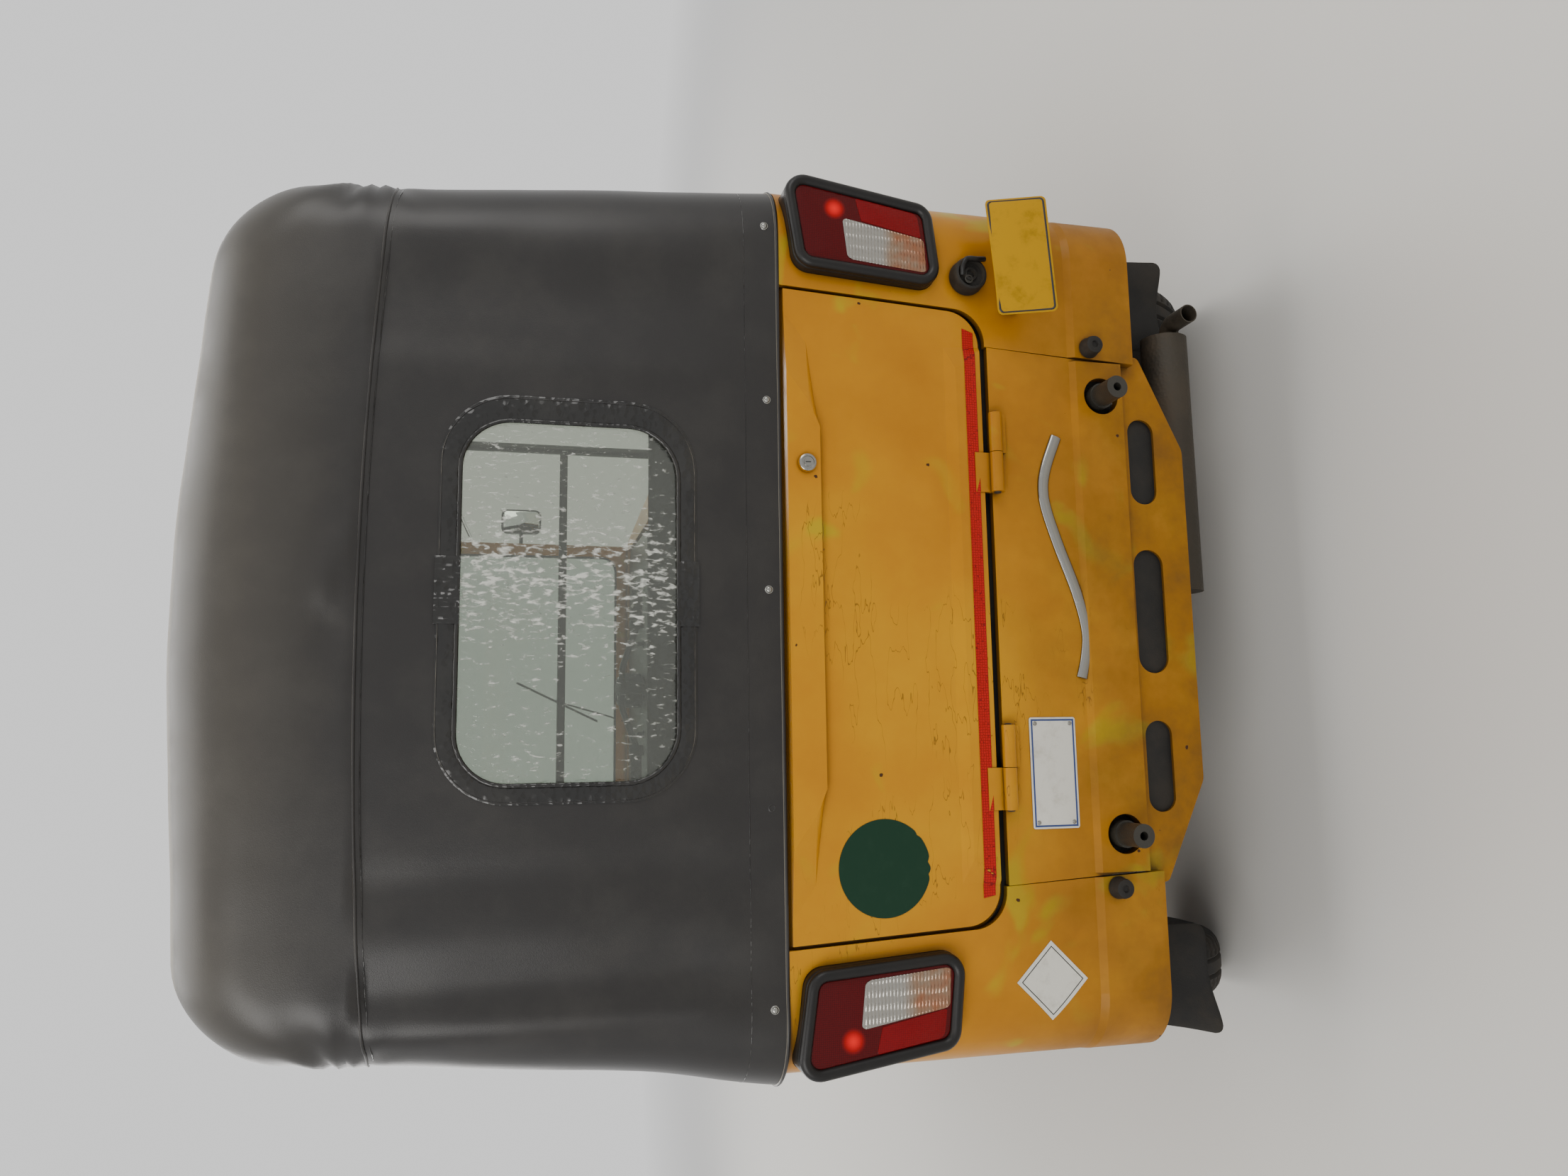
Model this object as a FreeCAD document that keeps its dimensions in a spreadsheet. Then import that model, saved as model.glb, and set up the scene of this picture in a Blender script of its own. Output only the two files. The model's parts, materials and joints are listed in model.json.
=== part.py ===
"""Three-wheeled auto rickshaw with a soft canopy, as a parametric document in millimetres.

The front faces -Y, +Z is up and the floor is Z = 0. The vehicle's left side is +X.
"""
import FreeCAD, Part
import math
import os
import re
import Sketcher
from FreeCAD import Placement, Rotation, Vector

# Driving sizes. Lengths in mm, angles in degrees. Y places are measured from the middle.
SIZES = {
    # whole vehicle
    "body_width": 1440, "rear_face": 1430, "nose_reach": 1490, "stay_reach": 1490,
    "panel_wall": 12, "seat_gap": 0.3, "run_gap": 0.1, "joint_gap": 6,
    # wheels
    "wheel_track": 1290, "rear_axle": 960, "front_axle": 1060, "tyre_radius": 255,
    "tyre_width": 120, "tyre_wall": 12, "tread_wall": 18, "rim_radius": 127, "rim_width": 100,
    "rim_flange": 15, "rim_wall": 6, "rim_well": 16, "disc_wall": 8, "disc_offset": 12,
    "vent_radius": 9, "vent_ring": 82, "vent_count": 8, "hub_radius": 42, "hub_length": 70,
    "shaft_radius": 14, "shaft_inner": 262,
    # steering
    "rake": 18, "head_place": 900, "head_height": 900, "head_top": 80, "head_bottom": 330,
    "head_radius": 32, "column_radius": 20, "crown_thick": 28, "leg_offset": 106,
    "leg_radius": 22, "leg_length": 235, "link_ahead": 60, "link_radius": 26, "link_wall": 24,
    "stub_radius": 12, "drum_radius": 62, "front_damper_radius": 27, "coil_rings": 7,
    "bar_height": 110, "bar_reach": 330, "bar_sweep": 120, "bar_radius": 11, "grip_radius": 16,
    "grip_length": 105, "stem_radius": 26,
    "guard_radius": 286, "guard_wall": 4, "guard_width": 150, "guard_skirt": 42,
    "guard_front": 72, "guard_rear": 96, "guard_stem": 12,
    # frame and floor
    "rail_offset": 330, "rail_width": 50, "rail_low": 330, "rail_high": 390, "rail_front": 700,
    "cross_width": 44, "neck_width": 60, "floor_top": 400, "floor_front": 750,
    "floor_rear": 640, "floor_inset": 60, "toe_lean": 70, "toe_wall": 10, "toe_top": 905,
    "toe_half": 560, "neck_slot_top": 680, "sill_low": 326, "sill_high": 440, "sill_rear": 330,
    "sill_outset": 8,
    # nose
    "cowl_wall": 12, "cowl_top": 930, "cowl_waist": 720, "cowl_low": 400, "cowl_top_half": 612,
    "cowl_waist_half": 560, "cowl_low_half": 330, "cowl_rear_half": 668,
    "cowl_top_back": 66, "cowl_waist_back": 24, "cowl_low_back": 90,
    "cowl_shoulder": 46, "nose_round": 160, "nose_flat": 0.45, "cowl_top_sweep": 26, "cowl_waist_sweep": 96,
    "cowl_low_sweep": 130, "wheel_gap_half": 315, "wheel_gap_top": 578,
    "lamp_radius": 88, "lamp_depth": 60, "lamp_height": 770,
    "screen_rake": 15, "screen_back": 95, "screen_rise": 811, "screen_half": 596,
    "screen_top_half": 560, "screen_thick": 30, "screen_border": 44, "screen_corner": 60,
    "glass_thick": 5, "dash_rear": 800, "dash_wall": 20, "dash_hole": 46, "pod_radius": 62,
    "mirror_height": 1350, "mirror_reach": 712, "mirror_tall": 150, "mirror_wide": 92,
    "mirror_thick": 20, "mirror_arm": 7,
    # seats and partition
    "driver_half": 300, "driver_front": 420, "driver_back": 70, "driver_base": 590,
    "driver_top": 720, "partition_place": 42, "partition_half": 610, "partition_top": 800,
    "partition_rail_low": 200, "partition_rail_high": 460,
    "bench_front": 330, "bench_base": 560, "bench_top": 700, "bench_half": 550,
    "back_thick": 100, "back_top": 1150, "bulkhead_place": 848, "deck_top": 950,
    "deck_rear": 1400, "deck_half": 700, "shelf_rear": 1336, "cushion_round": 30,
    # rear body
    "body_low": 367, "corner_round": 104, "shoulder_height": 700, "shoulder_rear": 610,
    "arch_radius": 300, "arch_wall": 8, "arch_inner": 562,
    "lid_low": 656, "lid_half": 517, "lid_low_half": 499, "lid_round": 57,
    "lip_top": 700, "lip_half": 400, "lip_slope": 22, "lip_proud": 6,
    "ledge_half": 285, "ledge_shoulder": 434, "ledge_tip": 485, "ledge_low": 940, "ledge_rise": 17,
    "ledge_proud": 15, "ledge_fade": 110,
    "lock_across": 223, "lock_height": 963, "lock_radius": 15,
    "hinge_height": 636, "hinge_proud": 12, "knuckle_radius": 11, "knuckle_length": 67,
    "hinge_across": 258, "hinge_pin": 5, "leaf_thick": 8, "leaf_tall": 20, "leaf_lap": 16,
    "panel_top": 640, "panel_half": 443, "panel_low": 392, "panel_low_half": 429,
    "crease_height": 478, "crease_proud": 6, "pipe_across": 369, "pipe_height": 433,
    "pipe_radius": 19, "pipe_root": 22, "pipe_hole": 32, "pipe_start": 1290, "tip_bore": 7,
    "bumper_top": 385, "bumper_top_half": 435, "bumper_tip": 350, "bumper_tip_half": 455,
    "bumper_low": 270, "bumper_low_half": 285,
    "bumper_thick": 6, "bumper_lap": 8, "slot_radius": 28, "slot_half": 106,
    "side_slot_radius": 25, "side_slot_near": 186, "side_slot_far": 337,
    "lamp_top": 988, "lamp_low": 726, "lamp_out_top": 711, "lamp_in_top": 549,
    "lamp_out_low": 676, "lamp_in_low": 532, "lamp_out_rise": 10, "lamp_in_drop": 11,
    "lamp_low_rise": 14, "lamp_corner": 32, "lamp_proud": 20, "lamp_deep": 90, "lamp_bead": 9,
    "lens_seat": 2, "lens_proud": 14, "lens_border": 26, "lens_corner": 14,
    "bracket_across": 583, "bracket_height": 597, "bracket_reach": 1484, "bracket_width": 150,
    "bracket_tall": 34, "bracket_thick": 4, "plate_bolts": 100, "plate_bolt_radius": 3.5,
    "flap_wide": 118, "flap_low": 190, "flap_high": 400, "flap_thick": 6,
    # engine and suspension
    "engine_half": 230, "engine_front": 870, "engine_rear": 1250, "engine_low": 208,
    "engine_top": 620, "output_radius": 34, "pivot_radius": 12, "arm_across": 430, "arm_wide": 46,
    "arm_pivot": 620, "arm_pivot_height": 300, "arm_boss": 30, "arm_hub": 58,
    "arm_hub_end": 566, "damper_across": 522, "damper_top": 596, "damper_radius": 30,
    "muffler_radius": 42, "muffler_place": 1312, "muffler_height": 222, "muffler_near": 50,
    "muffler_far": 531, "tail_radius": 17, "tail_reach": 1380, "tail_out": 28,
    "down_radius": 15, "down_across": 110, "down_height": 300,
    # canopy
    "canopy_wall": 6, "canopy_foot": 1000, "canopy_low_half": 721, "canopy_seam": 1600,
    "canopy_seam_half": 661, "roof_edge": 1852, "roof_edge_half": 640, "roof_apex": 1897,
    "roof_round": 140, "roof_arch": 2600, "roof_straight": 500, "header_lap": 26,
    "roof_middle": 850, "roof_ease": 0.25, "side_bow": 700,
    "header_half": 584, "header_round": 24, "side_drop_front": 600, "valance": 1560,
    "valance_front": 1640, "hoop_radius": 13, "rear_hoop": 1316, "middle_hoop": 616,
    "roof_rail_across": 470, "roof_rail_radius": 11,
    "window_half": 271, "window_low": 1165, "window_high": 1490, "window_round": 55,
    "window_thick": 3,
}

doc = FreeCAD.newDocument("AutoRickshaw")
sheet = doc.addObject("Spreadsheet::Sheet", "Sizes")
for row, (alias, number) in enumerate(SIZES.items(), start=1):
    sheet.set("A%d" % row, alias)
    sheet.set("B%d" % row, str(number))
    sheet.setAlias("B%d" % row, alias)
doc.recompute()


def bound(text):
    """Turns the plain size names in a formula into references to the sheet."""
    return re.sub(r"[a-z][a-z_]+", lambda m: "Sizes." + m[0] if m[0] in SIZES else m[0], text)


def value(text):
    """The number that a formula of sizes gives."""
    result = sheet.evalExpression(bound(text))
    return float(getattr(result, "Value", result))


# What each drawing plane calls its axes: name of the plane and which way a pad leaves it.
PLANES = {"XY": ("XY_Plane", 1), "XZ": ("XZ_Plane", -1), "YZ": ("YZ_Plane", 1)}


def new_body(label):
    """An empty body whose label names its sub-part."""
    body = doc.addObject("PartDesign::Body", label)
    body.Label = label
    return body


def new_sketch(body, plane, level):
    """A sketch parallel to one of the body's own origin planes, at a level along its axis."""
    role, sign = PLANES[plane]
    sketch = body.newObject("Sketcher::SketchObject", body.Label + "_sketch")
    support = [part for part in body.Origin.OriginFeatures if part.Role == role][0]
    sketch.AttachmentSupport = [(support, "")]
    sketch.MapMode = "FlatFace"
    sketch.setExpression("AttachmentOffset.Base.z", bound("%d*(%s)" % (sign, level)))
    return sketch


def constrain(sketch, wanted):
    """Adds constraints; each is (arguments, formula or None), and a formula drives its value."""
    made = []
    for arguments, formula in wanted:
        if formula is not None:
            arguments = arguments + (value(formula),)
        made.append(Sketcher.Constraint(*arguments))
    for index, (arguments, formula) in zip(sketch.addConstraint(made), wanted):
        if formula is not None:
            sketch.setExpression("Constraints[%d]" % index, bound(formula))


def draw_outline(sketch, corners, closed=True):
    """Straight lines through corners (across, up) or (across, up, rounding radius)."""
    count = len(corners)
    spots = [Vector(value(corner[0]), value(corner[1]), 0) for corner in corners]
    enter, leave, arcs = list(spots), list(spots), {}
    for index, corner in enumerate(corners):
        if len(corner) < 3:
            continue
        before = (spots[index] - spots[index - 1]).normalize()
        after = (spots[(index + 1) % count] - spots[index]).normalize()
        turn = math.atan2(before.x * after.y - before.y * after.x, before.dot(after))
        radius = value(corner[2])
        reach = radius * math.tan(abs(turn) / 2)
        enter[index] = spots[index] - before * reach
        leave[index] = spots[index] + after * reach
        side = math.copysign(1, turn)
        centre = enter[index] + Vector(-before.y, before.x, 0) * (radius * side)
        first, last = (enter, leave) if side > 0 else (leave, enter)
        angles = [math.atan2(end[index].y - centre.y, end[index].x - centre.x)
                  for end in (first, last)]
        if angles[1] < angles[0]:
            angles[1] += 2 * math.pi
        circle = Part.Circle(centre, Vector(0, 0, 1), radius)
        arcs[index] = (Part.ArcOfCircle(circle, angles[0], angles[1]), side)
    edges = count if closed else count - 1
    for index in range(edges):
        line = Part.LineSegment(leave[index], enter[(index + 1) % count])
        sketch.addGeometry(line, False)
    wanted = []
    for index, corner in enumerate(corners):
        before, after = (index - 1) % count, index
        spot = (after, 1) if closed or index < edges else (before, 2)
        if index in arcs:
            arc, side = arcs[index]
            bend = sketch.addGeometry(arc, False)
            point = sketch.addGeometry(Part.Point(spots[index]), True)
            first, last = (1, 2) if side > 0 else (2, 1)
            wanted += [(("Tangent", before, 2, bend, first), None),
                       (("Tangent", after, 1, bend, last), None),
                       (("PointOnObject", point, 1, before), None),
                       (("PointOnObject", point, 1, after), None),
                       (("Radius", bend), corner[2])]
            spot = (point, 1)
        elif closed or 0 < index < edges:
            wanted.append((("Coincident", before, 2, after, 1), None))
        wanted += [(("DistanceX", -1, 1) + spot, corner[0]),
                   (("DistanceY", -1, 1) + spot, corner[1])]
    constrain(sketch, wanted)


def draw_circles(sketch, circles):
    """Circles, each (across, up, radius)."""
    for across, up, radius in circles:
        circle = Part.Circle(Vector(value(across), value(up), 0), Vector(0, 0, 1), value(radius))
        index = sketch.addGeometry(circle, False)
        constrain(sketch, [(("Radius", index), radius),
                           (("DistanceX", -1, 1, index, 3), across),
                           (("DistanceY", -1, 1, index, 3), up)])


def extrude(body, kind, plane, low, high, outline=None, circles=None):
    """A pad or pocket of an outline or of circles, from low to high along the plane's axis."""
    sign = PLANES[plane][1]
    forward = sign if kind == "Pad" else -sign
    sketch = new_sketch(body, plane, low if forward > 0 else high)
    if outline:
        draw_outline(sketch, outline)
    if circles:
        draw_circles(sketch, circles)
    feature = body.newObject("PartDesign::" + kind, body.Label + "_" + kind.lower())
    feature.Profile = sketch
    feature.setExpression("Length", bound("(%s)-(%s)" % (high, low)))
    sketch.Visibility = False
    return feature


def prism(body, plane, low, high, outline):
    """Adds a block with an outline."""
    return extrude(body, "Pad", plane, low, high, outline)


def cut(body, plane, low, high, outline):
    """Takes a block with an outline away."""
    return extrude(body, "Pocket", plane, low, high, outline)


def rod(body, plane, low, high, across, up, radius):
    """Adds a round bar square to a plane."""
    return extrude(body, "Pad", plane, low, high, circles=[(across, up, radius)])


def drill(body, plane, low, high, *circles):
    """Takes round holes away."""
    return extrude(body, "Pocket", plane, low, high, circles=circles)


def box_outline(left, low, right, high, radius=None):
    """The four corners of a rectangle, rounded where a radius is given."""
    rounding = (radius,) if radius else ()
    return [corner + rounding
            for corner in ((left, low), (right, low), (right, high), (left, high))]


def loft(body, kind, plane, sections):
    """A ruled loft through (level, outline) sections."""
    sketches = []
    for level, outline in sections:
        sketch = new_sketch(body, plane, level)
        draw_outline(sketch, outline)
        sketches.append(sketch)
    feature = body.newObject("PartDesign::" + kind + "Loft", body.Label + "_loft")
    feature.Profile = sketches[0]
    feature.Sections = sketches[1:]
    feature.Ruled = True
    return feature


def revolve(body, plane, outline, axis="H_Axis", angle="360", kind="Revolution"):
    """A turned form about the sketch's own horizontal or vertical axis."""
    sketch = new_sketch(body, plane, "0")
    draw_outline(sketch, outline)
    feature = body.newObject("PartDesign::" + kind, body.Label + "_turn")
    feature.Profile = sketch
    feature.ReferenceAxis = (sketch, [axis])
    feature.setExpression("Angle", angle)
    return feature


def bent_bar(body, plane, level, route, end_plane, radius):
    """A round bar along a planar route whose first run leaves square to end_plane."""
    spine = new_sketch(body, plane, level)
    draw_outline(spine, route, closed=False)
    places = dict(zip(plane, route[0][:2]))
    places[({"X", "Y", "Z"} - set(plane)).pop()] = level
    start = places[({"X", "Y", "Z"} - set(end_plane)).pop()]
    profile = new_sketch(body, end_plane, start)
    draw_circles(profile, [(places[end_plane[0]], places[end_plane[1]], radius)])
    pipe = body.newObject("PartDesign::AdditivePipe", body.Label + "_pipe")
    pipe.Profile = profile
    pipe.Spine = spine
    return pipe


def soften(body, radius, wanted):
    """Rounds the edges of the body's present form that the test picks."""
    doc.recompute()
    base = body.Tip
    names = ["Edge%d" % (index + 1) for index, edge in enumerate(base.Shape.Edges)
             if wanted(edge)]
    if not names:
        raise RuntimeError("no edge to round on " + body.Label)
    fillet = body.newObject("PartDesign::Fillet", body.Label + "_round")
    fillet.Base = (base, names)
    fillet.setExpression("Radius", bound(radius))
    return fillet


def on_level(edge, place):
    """True for an edge that lies in one plane square to the vehicle's length."""
    return all(abs(edge.valueAt(part).y - place) < 0.01 for part in edge.ParameterRange)


def mirrored(corners, side):
    """The same outline on the left side (1) or the right side (-1)."""
    flipped = [("%d*(%s)" % (side, corner[0]),) + tuple(corner[1:]) for corner in corners]
    return flipped if side > 0 else flipped[::-1]


def between(side, near, far):
    """The low and high ends of a span that lies on one side."""
    return (near, far) if side > 0 else ("-1*(%s)" % far, "-1*(%s)" % near)


SIDES = {"left": 1, "right": -1}


# Chassis frame: two rails, cross-members, neck and head tube
FLOOR_HALF = "(body_width/2 - floor_inset)"


def chassis_frame():
    body = new_body("chassis_frame")
    for side in SIDES.values():
        low, high = between(side, "rail_offset - rail_width/2", "rail_offset + rail_width/2")
        prism(body, "XZ", "-rail_front", "rear_face - panel_wall - bumper_thick - 2*seat_gap",
              box_outline(low, "rail_low", high, "rail_high"))
    # place along the vehicle, half length
    members = [("-rail_front + cross_width/2", FLOOR_HALF), ("-partition_place", FLOOR_HALF),
               ("bench_front", FLOOR_HALF),
               ("arm_pivot + arm_boss + cross_width", "rail_offset"),
               ("engine_rear + cross_width", "rail_offset")]
    for place, half in members:
        prism(body, "YZ", "-1*" + half, half,
              box_outline(place + " - cross_width/2", "rail_low",
                          place + " + cross_width/2", "rail_high"))
    neck_rear = "-rail_front + cross_width"
    prism(body, "YZ", "-neck_width/2", "neck_width/2",
          [(neck_rear, "rail_low"), (neck_rear, "rail_high + 20"),
           ("-head_place - 14", "head_height - head_top - 34"),
           ("-head_place - 66", "head_height - head_top - 54"),
           ("-head_place - 80", "head_height - head_bottom + 124"),
           ("-rail_front - 32", "rail_high + 6"), ("-rail_front - 20", "rail_low + 30")])
    tilted_rod(body, "-head_bottom", "-head_top", "head_radius")
    tilted_bore(body, "-head_bottom - 30", "-head_top + 30", "column_radius + run_gap")
    for side in SIDES.values():
        low, high = between(side, "rail_offset + rail_width/2 - 1", "arm_across + arm_wide + 24")
        rod(body, "YZ", low, high, "arm_pivot", "arm_pivot_height", "pivot_radius")
        low, high = between(side, "rail_offset - rail_width/2", "rail_offset + rail_width/2")
        prism(body, "YZ", low, high,
              box_outline("arm_pivot - arm_boss", "arm_pivot_height - arm_boss",
                          "arm_pivot + arm_boss", "rail_low + 1"))
        prism(body, "XZ", "rear_axle - damper_radius - 18", "rear_axle - damper_radius - 6",
              mirrored([("rail_offset - 10", "rail_high - 1"), ("rail_offset + 24", "rail_high - 1"),
                        ("damper_across + damper_radius", "damper_top"),
                        ("damper_across + damper_radius", "damper_top + 24"),
                        ("damper_across - damper_radius", "damper_top + 24"),
                        ("rail_offset - 10", "rail_high + 80")], side))
        prism(body, "XY", "damper_top", "damper_top + 8",
              mirrored(box_outline("damper_across - damper_radius", "rear_axle - damper_radius - 18",
                                   "damper_across + damper_radius", "rear_axle + 36"), side))
    return body


def steering_sketch(body, level):
    """A sketch square to the steering axis, at a distance along it from the head."""
    sketch = new_sketch(body, "XY", "0")
    sketch.setExpression("AttachmentOffset.Base.z",
                         bound("head_height + (%s)*cos(rake)" % level))
    sketch.setExpression("AttachmentOffset.Base.y",
                         bound("-head_place + (%s)*sin(rake)" % level))
    offset = sketch.AttachmentOffset
    offset.Rotation = Rotation(Vector(1, 0, 0), -1)
    sketch.AttachmentOffset = offset
    sketch.setExpression("AttachmentOffset.Rotation.Angle", bound("-rake"))
    return sketch


def tilted_rod(body, low, high, radius):
    """Adds a bar along the steering axis."""
    sketch = steering_sketch(body, low)
    draw_circles(sketch, [("0", "0", radius)])
    feature = body.newObject("PartDesign::Pad", body.Label + "_pad")
    feature.Profile = sketch
    feature.setExpression("Length", bound("(%s)-(%s)" % (high, low)))


def tilted_bore(body, low, high, radius):
    """Takes a bar along the steering axis away."""
    sketch = steering_sketch(body, high)
    draw_circles(sketch, [("0", "0", radius)])
    feature = body.newObject("PartDesign::Pocket", body.Label + "_bore")
    feature.Profile = sketch
    feature.setExpression("Length", bound("(%s)-(%s)" % (high, low)))


# Floor with its toe board
def floor_pan():
    body = new_body("floor_pan")
    prism(body, "XY", "rail_high", "floor_top",
          box_outline("-1*" + FLOOR_HALF, "-floor_front", FLOOR_HALF, "floor_rear"))
    prism(body, "YZ", "-toe_half", "toe_half",
          [("-floor_front", "floor_top - 1"), ("-floor_front + toe_wall", "floor_top - 1"),
           ("-floor_front + toe_wall - toe_lean", "toe_top"),
           ("-floor_front - toe_lean", "toe_top")])
    cut(body, "XY", "rail_high - 1", "neck_slot_top",
        box_outline("-neck_width/2 - 1", "-floor_front - toe_lean - 5", "neck_width/2 + 1",
                    "-rail_front + cross_width + 1"))
    return body


# Nose: a hollow shell whose sides run down to the floor and clear the steered wheel
def cowl_outline(half, back, sweep, inset):
    """The shell's plan at one level, set in by a wall; the rear edge is the door opening."""
    half = "(%s - %s)" % (half, inset)
    rear = "(cowl_rear_half - %s)" % inset
    nose = "-nose_reach + %s + %s" % (back, inset)
    return [(rear, "-floor_front"), ("-1*" + rear, "-floor_front"),
            ("-1*" + half, "%s + %s" % (nose, sweep), "cowl_shoulder"),
            ("-nose_flat*" + half, nose, "nose_round"), ("nose_flat*" + half, nose, "nose_round"),
            (half, "%s + %s" % (nose, sweep), "cowl_shoulder")]


def front_cowl():
    body = new_body("front_cowl")
    # level, half width, how far behind the tip, how far the corner is swept back
    levels = [("cowl_top", "cowl_top_half", "cowl_top_back", "cowl_top_sweep"),
              ("cowl_waist", "cowl_waist_half", "cowl_waist_back", "cowl_waist_sweep"),
              ("cowl_low", "cowl_low_half", "cowl_low_back", "cowl_low_sweep")]
    loft(body, "Additive", "XY",
         [(level, cowl_outline(half, back, sweep, "0")) for level, half, back, sweep in levels])
    inner = [("cowl_top - cowl_wall",) + levels[0][1:]] + levels[1:]
    loft(body, "Subtractive", "XY",
         [(level, cowl_outline(half, back, sweep, "cowl_wall"))
          for level, half, back, sweep in inner])
    # the deck stays in front of the windscreen's foot only
    cut(body, "XY", "cowl_top - cowl_wall - 1", "cowl_top",
        box_outline("-screen_half + 20", "-nose_reach + screen_back + 50", "screen_half - 20",
                    "-floor_front + 5"))
    cut(body, "XZ", "-nose_reach - 50", "-floor_front",
        [("-wheel_gap_half", "cowl_low - 10"), ("wheel_gap_half", "cowl_low - 10"),
         ("wheel_gap_half", "wheel_gap_top", "60"), ("-wheel_gap_half", "wheel_gap_top", "60")])
    cut(body, "YZ", "-cowl_rear_half - 5", "cowl_rear_half + 5",
        [("-nose_reach", "cowl_low - 10"), ("-floor_front - 40", "cowl_low - 10"),
         ("-front_axle", "wheel_gap_top - 20", "200"), ("-nose_reach", "wheel_gap_top")])
    drill(body, "XZ", "-nose_reach - 5", "-nose_reach + cowl_waist_back + 90",
          ("0", "lamp_height", "lamp_radius + 1"))
    return body


def headlamp():
    body = new_body("headlamp")
    sketch = new_sketch(body, "YZ", "0")
    front = "-nose_reach"
    back = "-nose_reach + cowl_waist_back - seat_gap"
    draw_outline(sketch, [(front, "lamp_height"),
                          (front + " + 10", "lamp_height + lamp_radius - 8"),
                          (front + " + 10", "lamp_height + lamp_radius + 6"),
                          (back, "lamp_height + lamp_radius + 6"),
                          (back, "lamp_height + lamp_radius - 2"),
                          (front + " + lamp_depth", "lamp_height + lamp_radius/2"),
                          (front + " + lamp_depth", "lamp_height")])
    axis = sketch.addGeometry(Part.LineSegment(
        Vector(value(front), value("lamp_height"), 0),
        Vector(value(front) + 50, value("lamp_height"), 0)), True)
    constrain(sketch, [(("Horizontal", axis), None),
                       (("DistanceX", -1, 1, axis, 1), front),
                       (("DistanceY", -1, 1, axis, 1), "lamp_height"),
                       (("DistanceX", axis, 1, axis, 2), "lamp_depth")])
    feature = body.newObject("PartDesign::Revolution", "headlamp_turn")
    feature.Profile = sketch
    feature.ReferenceAxis = (sketch, ["Axis0"])
    feature.Angle = 360
    return body


# Windscreen: a raked frame with a sheet of glass let into it
def screen_slab(body, half, inset):
    """A raked slab standing on the nose deck, thinner on both faces by the inset."""
    lean = "screen_rise*tan(screen_rake)"
    near = "-nose_reach + screen_back - screen_thick/2 + " + inset
    far = "-nose_reach + screen_back + screen_thick/2 - " + inset
    prism(body, "YZ", "-" + half, half,
          [(near, "cowl_top"), (far, "cowl_top"), (far + " + " + lean, "cowl_top + screen_rise"),
           (near + " + " + lean, "cowl_top + screen_rise")])


def screen_outline(border, rounding):
    """The raked windscreen seen from the front, set in by a border."""
    border = "(%s)" % border
    return [("-screen_half + " + border, "cowl_top + " + border, rounding),
            ("screen_half - " + border, "cowl_top + " + border, rounding),
            ("screen_top_half - " + border, "cowl_top + screen_rise - " + border, rounding),
            ("-screen_top_half + " + border, "cowl_top + screen_rise - " + border, rounding)]


def windscreen():
    frame = new_body("windscreen_frame")
    screen_slab(frame, "screen_half", "0")
    deep = "-nose_reach + screen_back - 60"
    near = "-nose_reach + screen_back + screen_rise*tan(screen_rake) + 60"
    top = "cowl_top + screen_rise"
    for side in SIDES.values():
        cut(frame, "XZ", deep, near,
            mirrored([("screen_half", "cowl_top"), ("screen_half + 5", "cowl_top"),
                      ("screen_half + 5", top), ("screen_top_half", top)], side))
    cut(frame, "XZ", deep, near, screen_outline("screen_border", "screen_corner"))
    glass = new_body("windscreen_glass")
    prism(glass, "XZ", deep, near, screen_outline("screen_border + seat_gap",
                                                   "screen_corner - seat_gap"))
    lean = "screen_rise*tan(screen_rake)"
    for sign in (-1, 1):
        face = "(-nose_reach + screen_back + %d*glass_thick/2)" % sign
        reach = "%d*(%s + 160)" % (sign, lean)
        cut(glass, "YZ", "-screen_half", "screen_half",
            [(face, "cowl_top"), (face + " + " + lean, top),
             (face + " + " + lean + " + " + reach, top), (face + " + " + reach, "cowl_top")])
    return [frame, glass]


# Dashboard shelf with a round instrument pod
def dashboard():
    body = new_body("dashboard")
    prism(body, "XY", "toe_top", "toe_top + dash_wall",
          [("-screen_half + 30", "-nose_reach + screen_back + 56", "60"), ("-toe_half", "-dash_rear", "60"),
           ("toe_half", "-dash_rear", "60"), ("screen_half - 30", "-nose_reach + screen_back + 56", "60")])
    place = "-head_place + (toe_top - head_height)*tan(rake)"
    drill(body, "XY", "toe_top - 1", "toe_top + dash_wall + 1", ("0", place, "dash_hole"))
    prism(body, "XY", "toe_top + dash_wall - 1", "toe_top + dash_wall + 64",
          box_outline("-pod_radius", place + " - dash_hole - 130", "pod_radius",
                      place + " - dash_hole - 26", "24"))
    return body


def mirrors():
    made = []
    for name, side in SIDES.items():
        body = new_body("mirror_" + name)
        lean = "(mirror_height - cowl_top)*tan(screen_rake)"
        place = "-nose_reach + screen_back + " + lean
        edge = ("screen_half - (screen_half - screen_top_half)"
                "*(mirror_height - mirror_arm - cowl_top)/screen_rise")
        low, high = between(side, edge, "mirror_reach - mirror_wide/2")
        rod(body, "YZ", low, high, place, "mirror_height", "mirror_arm")
        prism(body, "XZ", place + " - mirror_thick", place + " + 4",
              mirrored(box_outline("mirror_reach - mirror_wide", "mirror_height - mirror_tall/2",
                                   "mirror_reach", "mirror_height + mirror_tall/2", "24"), side))
        made.append(body)
    return made


def side_sills():
    made = []
    for name, side in SIDES.items():
        body = new_body("side_sill_" + name)
        low, high = between(side, FLOOR_HALF, "body_width/2 - sill_outset")
        prism(body, "XZ", "-floor_front", "sill_rear",
              [(low, "sill_low", "14"), (high, "sill_low", "14"), (high, "sill_high", "20"),
               (low, "sill_high", "14")])
        made.append(body)
    return made


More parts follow.
